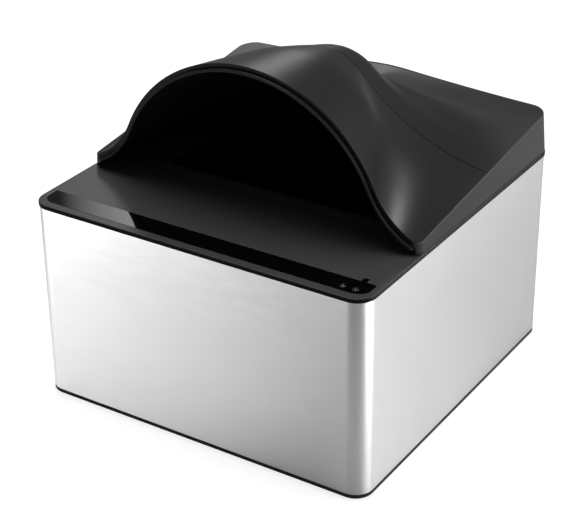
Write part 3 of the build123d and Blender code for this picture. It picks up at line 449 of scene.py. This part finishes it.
jack = Paint(bpy.data.materials.new("jack_black"))
pin = within(jack, "XZ", (-PORT_X, JACK_MID), (JACK_PIN, JACK_PIN))
grain = jack.noise(2400.0, 3.0)
jack.plain(
    Base_Color=jack.between(pin, (0.025, 0.025, 0.027), (0.6, 0.6, 0.6)), Metallic=pin,
    Roughness=grain * 0.1 + (1 - pin) * 0.2 + 0.25, Normal=jack.relief(grain, 0.00002, 0.4))
dress(eased("power_port", "dc_socket", 0.15), jack.owner, "base", "chip_black", "dc_socket")

# Circuit boards: glass fibre with a green solder mask over fine copper tracks and tinned pads.
# The main board lies at the back, the camera's under the glass, and three small ones hold lamps.
PAD_STEP, PAD_R, PAD_SHARE = 2.54, 0.55, 0.58
ROUTE_SCALE, ROUTE_RINGS, TRACK_SHARE = 90.0, 9, 0.42

mask = Paint(bpy.data.materials.new("solder_mask"))
flat = mask.node("ShaderNodeMapping", {"Vector": mask.place(), "Scale": (1, 1, 0)})
routes = mask.node(
    "ShaderNodeTexVoronoi", {"Vector": flat, "Scale": ROUTE_SCALE, "Randomness": 0.7}, distance="MANHATTAN")
track = (routes * ROUTE_RINGS).math("FRACT") < TRACK_SHARE
dots = mask.node("ShaderNodeTexVoronoi", {"Vector": flat, "Scale": 1 / (PAD_STEP * MM), "Randomness": 0.0})
pad = (dots < PAD_R / PAD_STEP) * (mask.noise(150.0, 0.0, flat) > PAD_SHARE)
green = mask.between(track, (0.008, 0.075, 0.030), (0.016, 0.13, 0.05))
mask.plain(
    Base_Color=mask.between(pad, green, (0.7, 0.7, 0.68)), Metallic=pad,
    Roughness=mask.noise(500.0) * 0.1 + 0.25, Normal=mask.relief(track + pad, 0.00003))
for node in ("main_board", "camera_board", "indicator_board", "light_board_left", "light_board_right"):
    dress(eased(f"{node}_card", node, 0.08, 1), mask.owner, "base", "board_green", node)

# Chips: black moulded packages on the main board, with two rows of tinned legs each. White
# sockets beside them take the flat cables.
BOARD_TOP = 10.1
# x, y, width, depth
CHIPS = ((0, 60, 17, 17), (22, 58, 10, 13), (-22, 58, 12, 8), (42, 72, 7, 5))
LEG_STEP, LEG_OUT, LEG_HIGH, LEG_WIDE, LEG_THICK = 1.0, 1.1, 1.0, 0.4, 0.16


class Recipe(Nodes):
    """A tree of Geometry Nodes that puts one shape on each point it is given, turned as the point says."""

    def __init__(self, name, *sizes):
        super().__init__(bpy.data.node_groups.new(name, "GeometryNodeTree"))
        sockets = {"Points": "Geometry", "Finish": "Material"} | {size: "Float" for size in sizes}
        for socket, kind in sockets.items():
            self.tree.interface.new_socket(socket, in_out="INPUT", socket_type=f"NodeSocket{kind}")
        self.tree.interface.new_socket("Mesh", in_out="OUTPUT", socket_type="NodeSocketGeometry")
        self.given = self.tree.nodes.new("NodeGroupInput")
        self.sizes = [self.size(size) for size in sizes]

    def size(self, name):
        return Signal(self, self.given.outputs[name])

    def at(self, shape, x=0.0, y=0.0, z=0.0, turn=0.0):
        """The shape moved by these amounts, after a turn about its upright."""
        inputs = {"Geometry": shape, "Translation": self.node("ShaderNodeCombineXYZ", (x, y, z))}
        return self.node("GeometryNodeTransform", inputs | {"Rotation": (0, 0, turn)})

    def block(self, x, y, z):
        return self.node("GeometryNodeMeshCube", {"Size": self.node("ShaderNodeCombineXYZ", (x, y, z))})

    def end(self, *shapes):
        """Joins the shapes and sets them on the points."""
        whole = self.node("GeometryNodeJoinGeometry", {"Geometry": list(shapes)})
        turn = self.node("GeometryNodeInputNamedAttribute", {"Name": "turn"}, data_type="FLOAT_VECTOR")
        spread = self.node("GeometryNodeInstanceOnPoints", {
            "Points": self.size("Points"), "Instance": whole, "Rotation": turn})
        real = self.node("GeometryNodeRealizeInstances", {"Geometry": spread})
        painted = self.node("GeometryNodeSetMaterial", {"Geometry": real, "Material": self.size("Finish")})
        self.tree.links.new(painted.socket, self.tree.nodes.new("NodeGroupOutput").inputs[0])

    def make(self, name, places, material, **sizes):
        """A piece with the shape at each of these places, given in millimetres with their turns."""
        mesh = bpy.data.meshes.new(name)
        mesh.from_pydata([tuple(c * MM for c in point) for point, turn in places], [], [])
        turns = mesh.attributes.new("turn", "FLOAT_VECTOR", "POINT")
        for value, (point, turn) in zip(turns.data, places):
            value.vector = turn
        piece = bpy.data.objects.new(name, mesh)
        bpy.context.scene.collection.objects.link(piece)
        modifier = piece.modifiers.new("recipe", "NODES")
        modifier.node_group = self.tree
        wanted = {size: value * MM for size, value in sizes.items()} | {"Finish": material}
        for socket in self.tree.interface.items_tree:
            if socket.in_out == "INPUT" and socket.name in wanted:
                modifier[socket.identifier] = wanted[socket.name]
        mesh = finished(piece).data
        bpy.data.objects.remove(piece)
        return added(name, mesh)


# a leg leaves the package level, turns down half way out, and ends in a flat sole
legs = Recipe("chip_legs", "Out", "High", "Wide", "Thick")
out, high, wide, thick = legs.sizes
shoulder = legs.at(legs.block(out * 0.5, wide, thick), x=out * 0.25, z=high * 0.55)
shin = legs.at(legs.block(thick, wide, high * 0.55), x=out * 0.5, z=high * 0.275)
sole = legs.at(legs.block(out * 0.5, wide, thick), x=out * 0.7, z=thick * 0.5)
legs.end(shoulder, shin, sole)

leg_places = []
for x, y, chip_wide, chip_deep in CHIPS:
    rows = chip_deep - 2
    for step in range(rows):
        row = y + (step - (rows - 1) / 2) * LEG_STEP
        for side, turn in ((-1, pi), (1, 0)):
            leg_places.append(((x + side * chip_wide / 2, row, BOARD_TOP), (0, 0, turn)))
tin = satin("tinned", (0.70, 0.70, 0.69), 0.3, streak=(900, 900, 900))
chip_legs = legs.make("legs", leg_places, tin, Out=LEG_OUT, High=LEG_HIGH, Wide=LEG_WIDE, Thick=LEG_THICK)
dress(chip_legs, tin, "base", "steel")

chip_black = moulded("chip_black", (0.020, 0.020, 0.022), 0.55, grain=4200.0)
socket_white = moulded("socket_white", (0.62, 0.61, 0.57), 0.45)
dress(eased("chips", "board_chips", 0.12), chip_black, "base", "chip_black", "board_chips")
dress(eased("sockets", "board_connectors", 0.12), socket_white, "base", "connector_white", "board_connectors")

# Flat cables: copper strips sealed side by side in white film. One joins the camera's board to
# the main board, and two carry the lamps' current.
STRIP_STEP = 1.0

film = Paint(bpy.data.materials.new("cable_film"))
strips = (1 / (STRIP_STEP * MM), 1 / (STRIP_STEP * MM), 0)
along = film.node(
    "ShaderNodeVectorMath", {0: film.place(), 1: strips}, operation="DOT_PRODUCT", output="Value")
copper = along.math("FRACT") < 0.5
film.plain(
    Base_Color=film.between(copper, (0.66, 0.66, 0.63), (0.50, 0.46, 0.40)),
    Roughness=film.noise(300.0) * 0.1 + 0.3, Normal=film.relief(copper, 0.00003))
finish(film.owner, "camera_cable", "light_ribbons")

# Camera: a sensor in its ceramic frame, a moulded holder and a turned barrel with two coated
# lenses, which looks up through the light box at the document.
WINDOW_MID, DIE_HALF = 21.0, 3.1
BARREL_PITCH = 0.5

sensor = Paint(bpy.data.materials.new("sensor"))
die = within(sensor, "XY", (0, WINDOW_MID), (DIE_HALF, DIE_HALF))
sheen = sensor.between(sensor.noise(900.0), (0.05, 0.02, 0.07), (0.02, 0.05, 0.06))
sensor.plain(
    Base_Color=sensor.between(die, (0.05, 0.045, 0.04), sheen), Roughness=0.45 - die * 0.3, Coat_Weight=die)
finish(sensor.owner, "image_sensor")

barrel = Paint(bpy.data.materials.new("anodised"))
height = barrel.node("ShaderNodeSeparateXYZ", [barrel.place()], output="Z")
thread = (height / (BARREL_PITCH * MM)).math("FRACT").math("PINGPONG", 0.5)
barrel.plain(
    Base_Color=barrel.between(barrel.noise(200.0), (0.018, 0.018, 0.02), (0.03, 0.03, 0.033)),
    Metallic=0.8, Roughness=barrel.noise(1500.0) * 0.1 + 0.3, Normal=barrel.relief(thread, 0.0002))
dress(eased("barrel", "lens_barrel", 0.12), barrel.owner, "base", "anodised_black", "lens_barrel")
dress(eased("holder", "lens_holder", 0.15), chip_black, "base", "chip_black", "lens_holder")

coated = Paint(bpy.data.materials.new("lens_coating"))
coated.plain(
    Base_Color=coated.between(coated.noise(120.0), (0.75, 0.72, 0.9), (0.8, 0.85, 0.95)),
    Roughness=coated.noise(60.0) * 0.02 + 0.01, Transmission_Weight=1.0, IOR=1.6, Coat_Weight=0.6)
finish(coated.owner, "lens_elements")

# Light box: a deep dull black moulding under the glass. On its floor lie two rows of lamps on
# narrow boards, each under an opal cover that spreads the light.
box_black = moulded("box_black", (0.010, 0.010, 0.011), 0.75, grain=1800.0, depth=0.00005)
dress(eased("light_box", "optical_housing", 0.3), box_black, "base", "liner_black", "optical_housing")

opal = moulded(
    "opal", (0.80, 0.80, 0.78), 0.35, tint=0.03, Subsurface_Weight=0.4, Subsurface_Radius=(0.003,) * 3)
for side in ("left", "right"):
    node = f"light_diffuser_{side}"
    dress(eased(f"opal_cover_{side}", node, 0.1, 1), opal, "base", "opal", node)

LAMP_STEP, LAMP_FIRST, RESIN_HALF = 10.0, 16.0, 1.2
glowing = Paint(bpy.data.materials.new("lamp_resin"))
first = (0, -LAMP_FIRST * MM, 0)
spots = glowing.node("ShaderNodeVectorMath", {0: glowing.place(), 1: first}, operation="ADD")
cell = glowing.node("ShaderNodeVectorMath", {0: spots, 1: (1.0, LAMP_STEP * MM, 1.0)}, operation="MODULO")
middle = glowing.node("ShaderNodeSeparateXYZ", [cell], output="Y").math("ABSOLUTE")
resin = (middle - LAMP_STEP / 2 * MM).math("ABSOLUTE") > (LAMP_STEP / 2 - RESIN_HALF) * MM
glowing.plain(
    Base_Color=glowing.between(resin, (0.80, 0.79, 0.74), (0.85, 0.68, 0.18)),
    Roughness=glowing.noise(400.0) * 0.1 + 0.25, Coat_Weight=0.5)
finish(glowing.owner, "light_leds", "indicator_leds")

# Top frame: the lower of the two black layers over the band, with long posts that reach down to
# the tray. A fine line parts it from the deck above.
rim_black = moulded("rim_black", (0.008, 0.008, 0.009), 0.28, depth=0.00001, Specular_IOR_Level=0.2)
dress(eased("frame_moulding", "top_frame", 0.07, 1), rim_black, "base", "black_case", "top_frame")

# Deck: a flat moulded plate with the ledge that carries the glass. Its front lies open, and the
# rest is under the hood.
deck_grey = moulded("deck_grey", (0.050, 0.050, 0.051), 0.33, depth=0.00001)
deck = eased("deck", "deck_plate", 0.12)
dress(deck, deck_grey, "base", "deck_grey", "deck_plate")

# below its rounded edge the plate's sides are given the frame's glossy black as painted shade; the plate
# itself is one grey all over
PAINTED_SHADE_BELOW = 108.85
deck.data.materials.append(rim_black)
for face in deck.data.polygons:
    face.material_index = int(face.center.z < PAINTED_SHADE_BELOW * MM)

# Status strip: a polished black bar let into the deck's front edge, with a small tab at its
# right end and two round lights. The lights are dark clear pipes that carry the light up.
LIGHTS_X, LIGHT_Y = (78.7, 85.3), -87.3
STRIP_TOP = 109.05
PIPE_R, PIPE_LOW, PIPE_DOME, PIPE_BEVEL = 1.45, 104.9, 0.12, 0.1
# radius of the painted highlight dot on each pipe's top, and the radius past which a painted reflection ring
# lightens it
PAINTED_GLINT_R, PAINTED_RING_FROM = 0.4, 1.2
PIPE_SIDES, DOME_STEPS, DOME_SHARE = 32, 6, 0.93

polish = Paint(bpy.data.materials.new("polished_black"))
polish.plain(
    Base_Color=polish.between(polish.noise(30.0), (0.0015, 0.0015, 0.0017), (0.0025, 0.0025, 0.0028)),
    Roughness=polish.noise(45.0) * 0.03 + 0.03, Normal=polish.relief(polish.noise(60.0), 0.00002, 0.1))
dress(eased("strip", "status_strip", 0.12), polish.owner, "base", "gloss_black", "status_strip")


def turned(name, places, profile, sides):
    """Round pieces about upright axes at these places, from a profile of radii and heights."""
    turns = [2 * pi * k / sides for k in range(sides)]
    points, faces = [], []
    for x, y in places:
        start = len(points)
        for radius, z in profile:
            points += [(x + radius * cos(turn), y + radius * sin(turn), z) for turn in turns]
        for i in range(len(profile) - 1):
            low = start + i * sides
            high = low + sides
            for k in range(sides):
                after = (k + 1) % sides
                faces.append((low + k, low + after, high + after, high + k))
        faces.append(tuple(range(start, start + sides))[::-1])
        faces.append(tuple(range(len(points) - sides, len(points))))
    return closed(name, points, faces)


smoked = Paint(bpy.data.materials.new("smoked_pipe"))
spot = smoked.node("ShaderNodeVectorMath", {0: smoked.place(), 1: (1, 1, 0)}, operation="MULTIPLY")
far = [
    smoked.node(
        "ShaderNodeVectorMath", {0: spot, 1: (x * MM, LIGHT_Y * MM, 0)}, operation="DISTANCE", output="Value")
    for x in LIGHTS_X
]
near = far[0].math("MINIMUM", far[1]) * (1 / MM)
# the light dot in the middle of each pipe's top is a painted highlight, and the faint light ring round its
# edge a painted reflection
core, rim = near < PAINTED_GLINT_R, near > PAINTED_RING_FROM
smoked.plain(
    Base_Color=smoked.between(core * 0.5 + rim * 0.10, (0.004, 0.004, 0.005), (0.55, 0.56, 0.58)),
    Roughness=smoked.noise(200.0) * 0.04 + 0.08, Coat_Weight=0.5)
pipe_profile = [(PIPE_R, PIPE_LOW), (PIPE_R, STRIP_TOP - PIPE_BEVEL)]
for step in range(DOME_STEPS):
    lift = step * pi / (2 * DOME_STEPS)
    pipe_profile.append((PIPE_R * cos(lift) * DOME_SHARE, STRIP_TOP + PIPE_DOME * sin(lift)))
pipes = turned("pipes", [(x, LIGHT_Y) for x in LIGHTS_X], pipe_profile, PIPE_SIDES)
dress(pipes, smoked.owner, "base", "light_clear", "light_pipes")

# Document glass: a clear pane on a thin gasket, held down by a raised bezel whose lip runs
# round its edge.
dress(eased("bezel", "glass_bezel", 0.04, 1), deck_grey, "base", "deck_grey", "glass_bezel")
finish(soft_rubber, "glass_gasket")
pane = Paint(bpy.data.materials.new("pane"))
pane.plain(
    Base_Color=pane.between(pane.noise(20.0), (0.90, 0.94, 0.93), (0.93, 0.96, 0.95)),
    Roughness=pane.noise(35.0, 4.0) * 0.02, Transmission_Weight=1.0, IOR=1.5)
finish(pane.owner, "document_glass")

# Hood frame: the hood's side and rear walls in one moulding. They lean inwards, carry the skins
# on a seat inside a thin lip, and stand a hair's breadth over the deck.
hood_grey = moulded("hood_grey", (0.015, 0.015, 0.016), 0.30, depth=0.00001)
# the walls are the skins' plastic, given a lighter grey as painted light on the sides that face the lamps
wall_grey = moulded("wall_grey", (0.055, 0.055, 0.056), 0.36, depth=0.00001)
dress(eased("hood_walls", "hood_frame", 0.25), wall_grey, "hood", "hood_grey", "hood_frame")

# Hood skins: the moulded top of the hood in two parts, which meet at a fine open seam. The top
# is an arch at the front that sinks to a low ridge and runs out flat at the rear.
DECK_TOP = 109.0
HOOD_BOTTOM = DECK_TOP + 0.3
HOOD_FRONT, HOOD_REAR, HOOD_HALF = -46.4, 95.7, 95.2
HOOD_LEAN, HOOD_CORNER, HOOD_NOSE = 0.0612, 9.4, 4.5
EDGE_FRONT, EDGE_RISE = 114.7, 0.1141
SKIN, WALL, LIP = 2.4, 2.5, 0.8
SEAM, SEAM_GAP, SEAM_ROUND = 24.5, 0.5, 0.15
COLUMNS, CROWDING = 150, 0.3
# y, height of the crown, radius over the crown, slope where it meets the side wall
STATIONS = (
    (-46.7, 183.3, 78.0, 0.37),
    (-24.6, 180.2, 68.0, 0.31),
    (-4.5, 177.3, 56.5, 0.25),
    (12.6, 173.2, 40.5, 0.18),
    (24.6, 169.7, 30.3, 0.12),
    (40.7, 164.5, 25.5, 0.04),
    (58.7, 149.7, 22.0, -0.02),
    (76.8, 136.1, 22.0, -0.01),
    (95.1, 135.0, 150.0, 0.03),
)


def station_value(column, y):
    """One column of the stations at y, on a cubic that never swings past its stations."""
    ys = [station[0] for station in STATIONS]
    values = [station[column] for station in STATIONS]
    steps = [b - a for a, b in zip(ys, ys[1:])]
    rises = [(b - a) / step for a, b, step in zip(values, values[1:], steps)]
    inner = [2 * a * b / (a + b) if a * b > 0 else 0.0 for a, b in zip(rises, rises[1:])]
    slopes = [rises[0], *inner, rises[-1]]
    if y <= ys[0]:
        return values[0] + slopes[0] * (y - ys[0])
    if y >= ys[-1]:
        return values[-1] + slopes[-1] * (y - ys[-1])
    i = max(k for k in range(len(steps)) if ys[k] <= y)
    t = (y - ys[i]) / steps[i]
    start = (1 + 2 * t) * (1 - t) ** 2 * values[i] + t * (1 - t) ** 2 * steps[i] * slopes[i]
    end = t * t * (3 - 2 * t) * values[i + 1] + t * t * (t - 1) * steps[i] * slopes[i + 1]
    return start + end


def edge_height(y):
    return EDGE_FRONT + EDGE_RISE * (y - HOOD_FRONT)


def wall_half(y, inset):
    """Half the hood's width at its top edge, inset from the walls' outside."""
    return HOOD_HALF - inset - HOOD_LEAN * (edge_height(y) - HOOD_BOTTOM)


def hood_height(x, y, depth):
    """Height of the surface that lies depth under the hood's top, at x and y."""
    crown, radius, slope = (station_value(column, y) for column in (1, 2, 3))
    edge_x, edge_z = wall_half(y, 0), edge_height(y)
    drop = radius - (crown - edge_z)
    flare = (edge_x**2 + drop**2 - radius**2) / (2 * (radius - edge_x * sin(slope) - drop * cos(slope)))
    flare_x, flare_z = edge_x + flare * sin(slope), edge_z + flare * cos(slope)
    crown, radius, flare = crown - depth, radius - depth, flare + depth
    if abs(x) <= radius * flare_x / (radius + flare):
        return crown - radius + sqrt(radius**2 - x**2)
    return flare_z - sqrt(flare**2 - (flare_x - abs(x)) ** 2)


def plan_half(inset, front, nose):
    """Half the width of what lies inside the walls, with round corners in front and at the rear."""
    rear = HOOD_REAR - inset - HOOD_LEAN * (edge_height(HOOD_REAR) - HOOD_BOTTOM)
    corner = HOOD_CORNER - inset

    def half_at(y):
        half = wall_half(y, inset)
        if y < front + nose:
            return half - nose + sqrt(max(0.0, nose**2 - (front + nose - y) ** 2))
        if y > rear - corner:
            return half - corner + sqrt(max(0.0, corner**2 - (y - rear + corner) ** 2))
        return half

    half_at.rear, half_at.corner = rear, corner
    return half_at


def shell(name, ys, upper, lower, half_at):
    """A closed sheet over rows at ys: upper and lower give its heights at x and y."""
    even = [2 * k / COLUMNS - 1 for k in range(COLUMNS + 1)]
    spread = [sin(pi / 2 * share) * CROWDING + share * (1 - CROWDING) for share in even]
    places = [(half_at(y) * s, y) for y in ys for s in spread]
    points = [(x, y, surface(x, y)) for surface in (upper, lower) for x, y in places]
    wide, base = COLUMNS + 1, len(places)
    last = base - wide
    faces = []
    for j in range(len(ys) - 1):
        row, after = j * wide, (j + 1) * wide
        for a in range(row, row + COLUMNS):
            faces.append((a, a + 1, a + wide + 1, a + wide))
            faces.append((base + a, base + a + wide, base + a + wide + 1, base + a + 1))
        for a, b in ((row, after), (row + COLUMNS, after + COLUMNS)):
            faces.append((a, b, base + b, base + a))
    for a in range(COLUMNS):
        faces.append((a, base + a, base + a + 1, a + 1))
        faces.append((last + a, last + a + 1, base + last + a + 1, base + last + a))
    return closed(name, points, faces, sharp=32)


def rounding(distance, radius):
    """How far a surface sinks this near to an edge of this radius."""
    return radius - sqrt(max(0.0, radius**2 - max(0.0, radius - distance) ** 2))


def rim_rows(front, radius, nose):
    """Rows close together over a rounded front edge, and then over the round front corners."""
    edge = [front + radius * (1 - cos(k * pi / 10)) for k in range(6)]
    return edge + [front + radius + (nose - radius) * (k / 9) ** 1.5 for k in range(1, 10)]


def even_rows(start, end, count):
    """Rows at even steps past the start, as far as the end."""
    return [start + (end - start) * k / count for k in range(1, count + 1)]


RIM_ROUND, RIM_UNDER = 0.25, 0.1
skin_half = plan_half(LIP, HOOD_FRONT, HOOD_NOSE - LIP)
corner_start = skin_half.rear - skin_half.corner
seam_front, seam_rear = SEAM - SEAM_GAP / 2, SEAM + SEAM_GAP / 2
front_rows = rim_rows(HOOD_FRONT, RIM_ROUND, HOOD_NOSE - LIP)
front_rows += even_rows(front_rows[-1], seam_front, 44)
rear_rows = [seam_rear, *even_rows(seam_rear, corner_start, 36)]
rear_rows += [corner_start + skin_half.corner * sin(k * pi / 24) for k in range(1, 13)]


def front_top(x, y):
    sunk = rounding(y - HOOD_FRONT, RIM_ROUND) + rounding(seam_front - y, SEAM_ROUND)
    return hood_height(x, y, sunk)


def front_under(x, y):
    return hood_height(x, y, SKIN - rounding(y - HOOD_FRONT, RIM_UNDER))


def rear_top(x, y):
    return hood_height(x, y, rounding(y - seam_rear, SEAM_ROUND))


front_cover = shell("front_cover", front_rows, front_top, front_under, skin_half)
rear_cover = shell("rear_cover", rear_rows, rear_top, lambda x, y: hood_height(x, y, SKIN), skin_half)
dress(front_cover, hood_grey, "hood", "hood_grey", "hood_front_skin")
dress(rear_cover, hood_grey, "hood", "hood_grey", "hood_rear_skin")

# Hood liner: the dull black inner shell that keeps daylight off the glass. Its rounded rim stands
# two millimetres out in front of the skin, under a fine groove, and a wall closes its back.
LINER, GROOVE, LINER_FRONT, LINER_BACK, LINER_WALL = 1.8, 0.15, -48.3, 74.8, 2.0
LINER_ROUND, LINER_NOSE, GROOVE_END, GROOVE_SLOPE = 0.25, 4.0, -43.4, 0.05

liner_half = plan_half(WALL, LINER_FRONT, LINER_NOSE)
liner_rows = rim_rows(LINER_FRONT, LINER_ROUND, LINER_NOSE)
liner_rows += [GROOVE_END - GROOVE_SLOPE, GROOVE_END, *even_rows(GROOVE_END, LINER_BACK, 50)]


def liner_top(x, y):
    groove = GROOVE if y < GROOVE_END else 0.0
    return hood_height(x, y, SKIN + groove + rounding(y - LINER_FRONT, LINER_ROUND))


def liner_under(x, y):
    return max(HOOD_BOTTOM, hood_height(x, y, SKIN + LINER - rounding(y - LINER_FRONT, LINER_ROUND)))


# one black plastic: its rim in front of the hood is painted lighter as painted light, and its inside darker
# than the light box's black as painted shade
liner_paint = Paint(bpy.data.materials.new("liner_black"))
painted_rim_light = liner_paint.node("ShaderNodeSeparateXYZ", [liner_paint.place()], output="Y") < HOOD_FRONT * MM
grain = liner_paint.noise(2600.0, 3.0)
liner_black = liner_paint.plain(
    Base_Color=liner_paint.between(painted_rim_light, (0.0012, 0.0012, 0.0013), (0.018, 0.018, 0.019)),
    Roughness=grain * 0.06 + 0.78 - painted_rim_light * 0.48, Normal=liner_paint.relief(grain, 0.00001))
inner = shell("liner", liner_rows, liner_top, liner_under, liner_half)
wall = shell(
    "liner_wall", [LINER_BACK - LINER_WALL, LINER_BACK], lambda x, y: hood_height(x, y, SKIN),
    lambda x, y: HOOD_BOTTOM, liner_half)
both = bmesh.new()
both.from_mesh(inner.data)
both.from_mesh(wall.data)
both.to_mesh(inner.data)
both.free()
bpy.data.objects.remove(wall)
dress(inner, liner_black, "hood", "liner_black", "hood_liner")

# Hinges: painted steel brackets on the deck, eared plates inside the hood's rear wall, and a
# bright pin through each. Four rubber bumpers stop the hood's walls just over the deck.
hinge_paint = moulded("hinge_paint", (0.022, 0.022, 0.023), 0.33, grain=700.0, depth=0.00003, Coat_Weight=0.2)
steel = satin("bright_steel", (0.58, 0.58, 0.59), 0.26, streak=(1500, 300, 1500))
for side in ("left", "right"):
    for piece, node, body in (("bracket", "hinge_bracket", "base"), ("ears", "hood_hinge", "hood")):
        plate = eased(f"{piece}_{side}", f"{node}_{side}", 0.2)
        dress(plate, hinge_paint, body, "hinge_black", f"{node}_{side}")
finish(steel, "hinge_pins")
finish(soft_rubber, "hood_bumpers")

# Screws: steel pan heads with a cross recess and a rolled thread, in two sizes. Each kind goes
# in from its own side: from below, from above, or from inside the hood.
SCREW_3, SCREW_2 = (1.5, 2.75, 1.8), (1.0, 1.9, 1.2)
# shares of the shank's radius, of the length, of the head's radius and of its height
CORE_SHARE, PITCH_SHARE, RIDGE_SHARE = 0.84, 0.36, 0.15
ROLLED_SHARE = 0.92
RECESS_LONG, RECESS_WIDE, DRAWN_IN = 1.15, 0.3, 0.28
RECESS_DEEP = 1.2
UPWARD, DOWNWARD, BACKWARD = (0, 0, 0), (pi, 0, 0), (-pi / 2, 0, 0)

screws = Recipe("screws", "Shank", "Head", "Height", "Length")
shank, head, high, long = screws.sizes
root = shank * CORE_SHARE
rod = screws.node("GeometryNodeMeshCylinder", {"Vertices": 20, "Radius": root, "Depth": long})
core = screws.at(rod, z=long * 0.5)
rolled = long * ROLLED_SHARE
helix = screws.node("GeometryNodeCurveSpiral", {
    "Resolution": 16, "Rotations": rolled / (shank * PITCH_SHARE), "Start Radius": root, "End Radius": root,
    "Height": rolled})
ridge = screws.node("GeometryNodeCurvePrimitiveCircle", {"Resolution": 4, "Radius": shank * RIDGE_SHARE})
worm = screws.node("GeometryNodeCurveToMesh", {"Curve": helix, "Profile Curve": ridge})
thread = screws.at(worm, z=long * ((1 - ROLLED_SHARE) / 2))
blank = screws.node("GeometryNodeMeshCylinder", {
    "Vertices": 32, "Side Segments": 6, "Radius": head, "Depth": high})
where = screws.node("GeometryNodeInputPosition")
rise = 0.5 - screws.node("ShaderNodeSeparateXYZ", [where], output="Z") / high
inward = 1 - rise * rise * rise * DRAWN_IN
factor = screws.node("ShaderNodeCombineXYZ", (inward, inward, 1.0))
moved = screws.node("ShaderNodeVectorMath", (where, factor), operation="MULTIPLY")
domed = screws.node("GeometryNodeSetPosition", {"Geometry": blank, "Position": moved})
pan = screws.at(domed, z=high * -0.5)
for turn in (0.0, pi / 2):
    bar = screws.block(head * RECESS_LONG, head * RECESS_WIDE, high * RECESS_DEEP)
    slot = screws.at(bar, z=high * -1.0, turn=turn)
    pan = screws.node("GeometryNodeMeshBoolean", {"Mesh 1": pan, "Mesh 2": slot}, operation="DIFFERENCE")
screws.end(core, thread, pan)

HINGE_X, AXIS_Y = 60.0, 93.6
MAIN_BOARD_Y = 66


def corners(half_x, half_y, z, middle=0.0):
    """Places at the four corners of a rectangle whose middle lies this far back."""
    return [(sx * half_x, middle + sy * half_y, z) for sx in (-1, 1) for sy in (-1, 1)]


def beside_hinges(apart, y, z):
    """Two places at each hinge, this far to either side of its middle."""
    return [(side * HINGE_X + dx, y, z) for side in (-1, 1) for dx in (-apart, apart)]


CASE_POSTS = corners(87.3, 60.0, 2.4)
DECK_TABS = corners(80.2, 40, 103.9)
BOX_FLANGE = corners(72, 46, 102.0, WINDOW_MID)
BOARD_POSTS = corners(48, 18, BOARD_TOP, MAIN_BOARD_Y) + corners(16, 16, BOARD_TOP, WINDOW_MID)
BRACKET_HOLES = beside_hinges(6.5, AXIS_Y - 12.5, DECK_TOP + 2)
PLATE_HOLES = beside_hinges(7, 89.0, 122.0)
KINDS = (
    # node, body, size, length, direction, places
    ("case_screws", "base", SCREW_3, 14, UPWARD, CASE_POSTS),
    ("deck_screws", "base", SCREW_3, 4, UPWARD, DECK_TABS),
    ("housing_screws", "base", SCREW_2, 5, UPWARD, BOX_FLANGE),
    ("board_screws", "base", SCREW_2, 5, DOWNWARD, BOARD_POSTS),
    ("bracket_screws", "base", SCREW_2, 4.5, DOWNWARD, BRACKET_HOLES),
    ("hood_screws", "hood", SCREW_2, 4.5, BACKWARD, PLATE_HOLES),
)
for node, body, (shank_r, head_r, head_h), length, turn, places in KINDS:
    made = screws.make(
        f"{node}_set", [(place, turn) for place in places], steel,
        Shank=shank_r, Head=head_r, Height=head_h, Length=length)
    dress(made, steel, body, "steel", node)
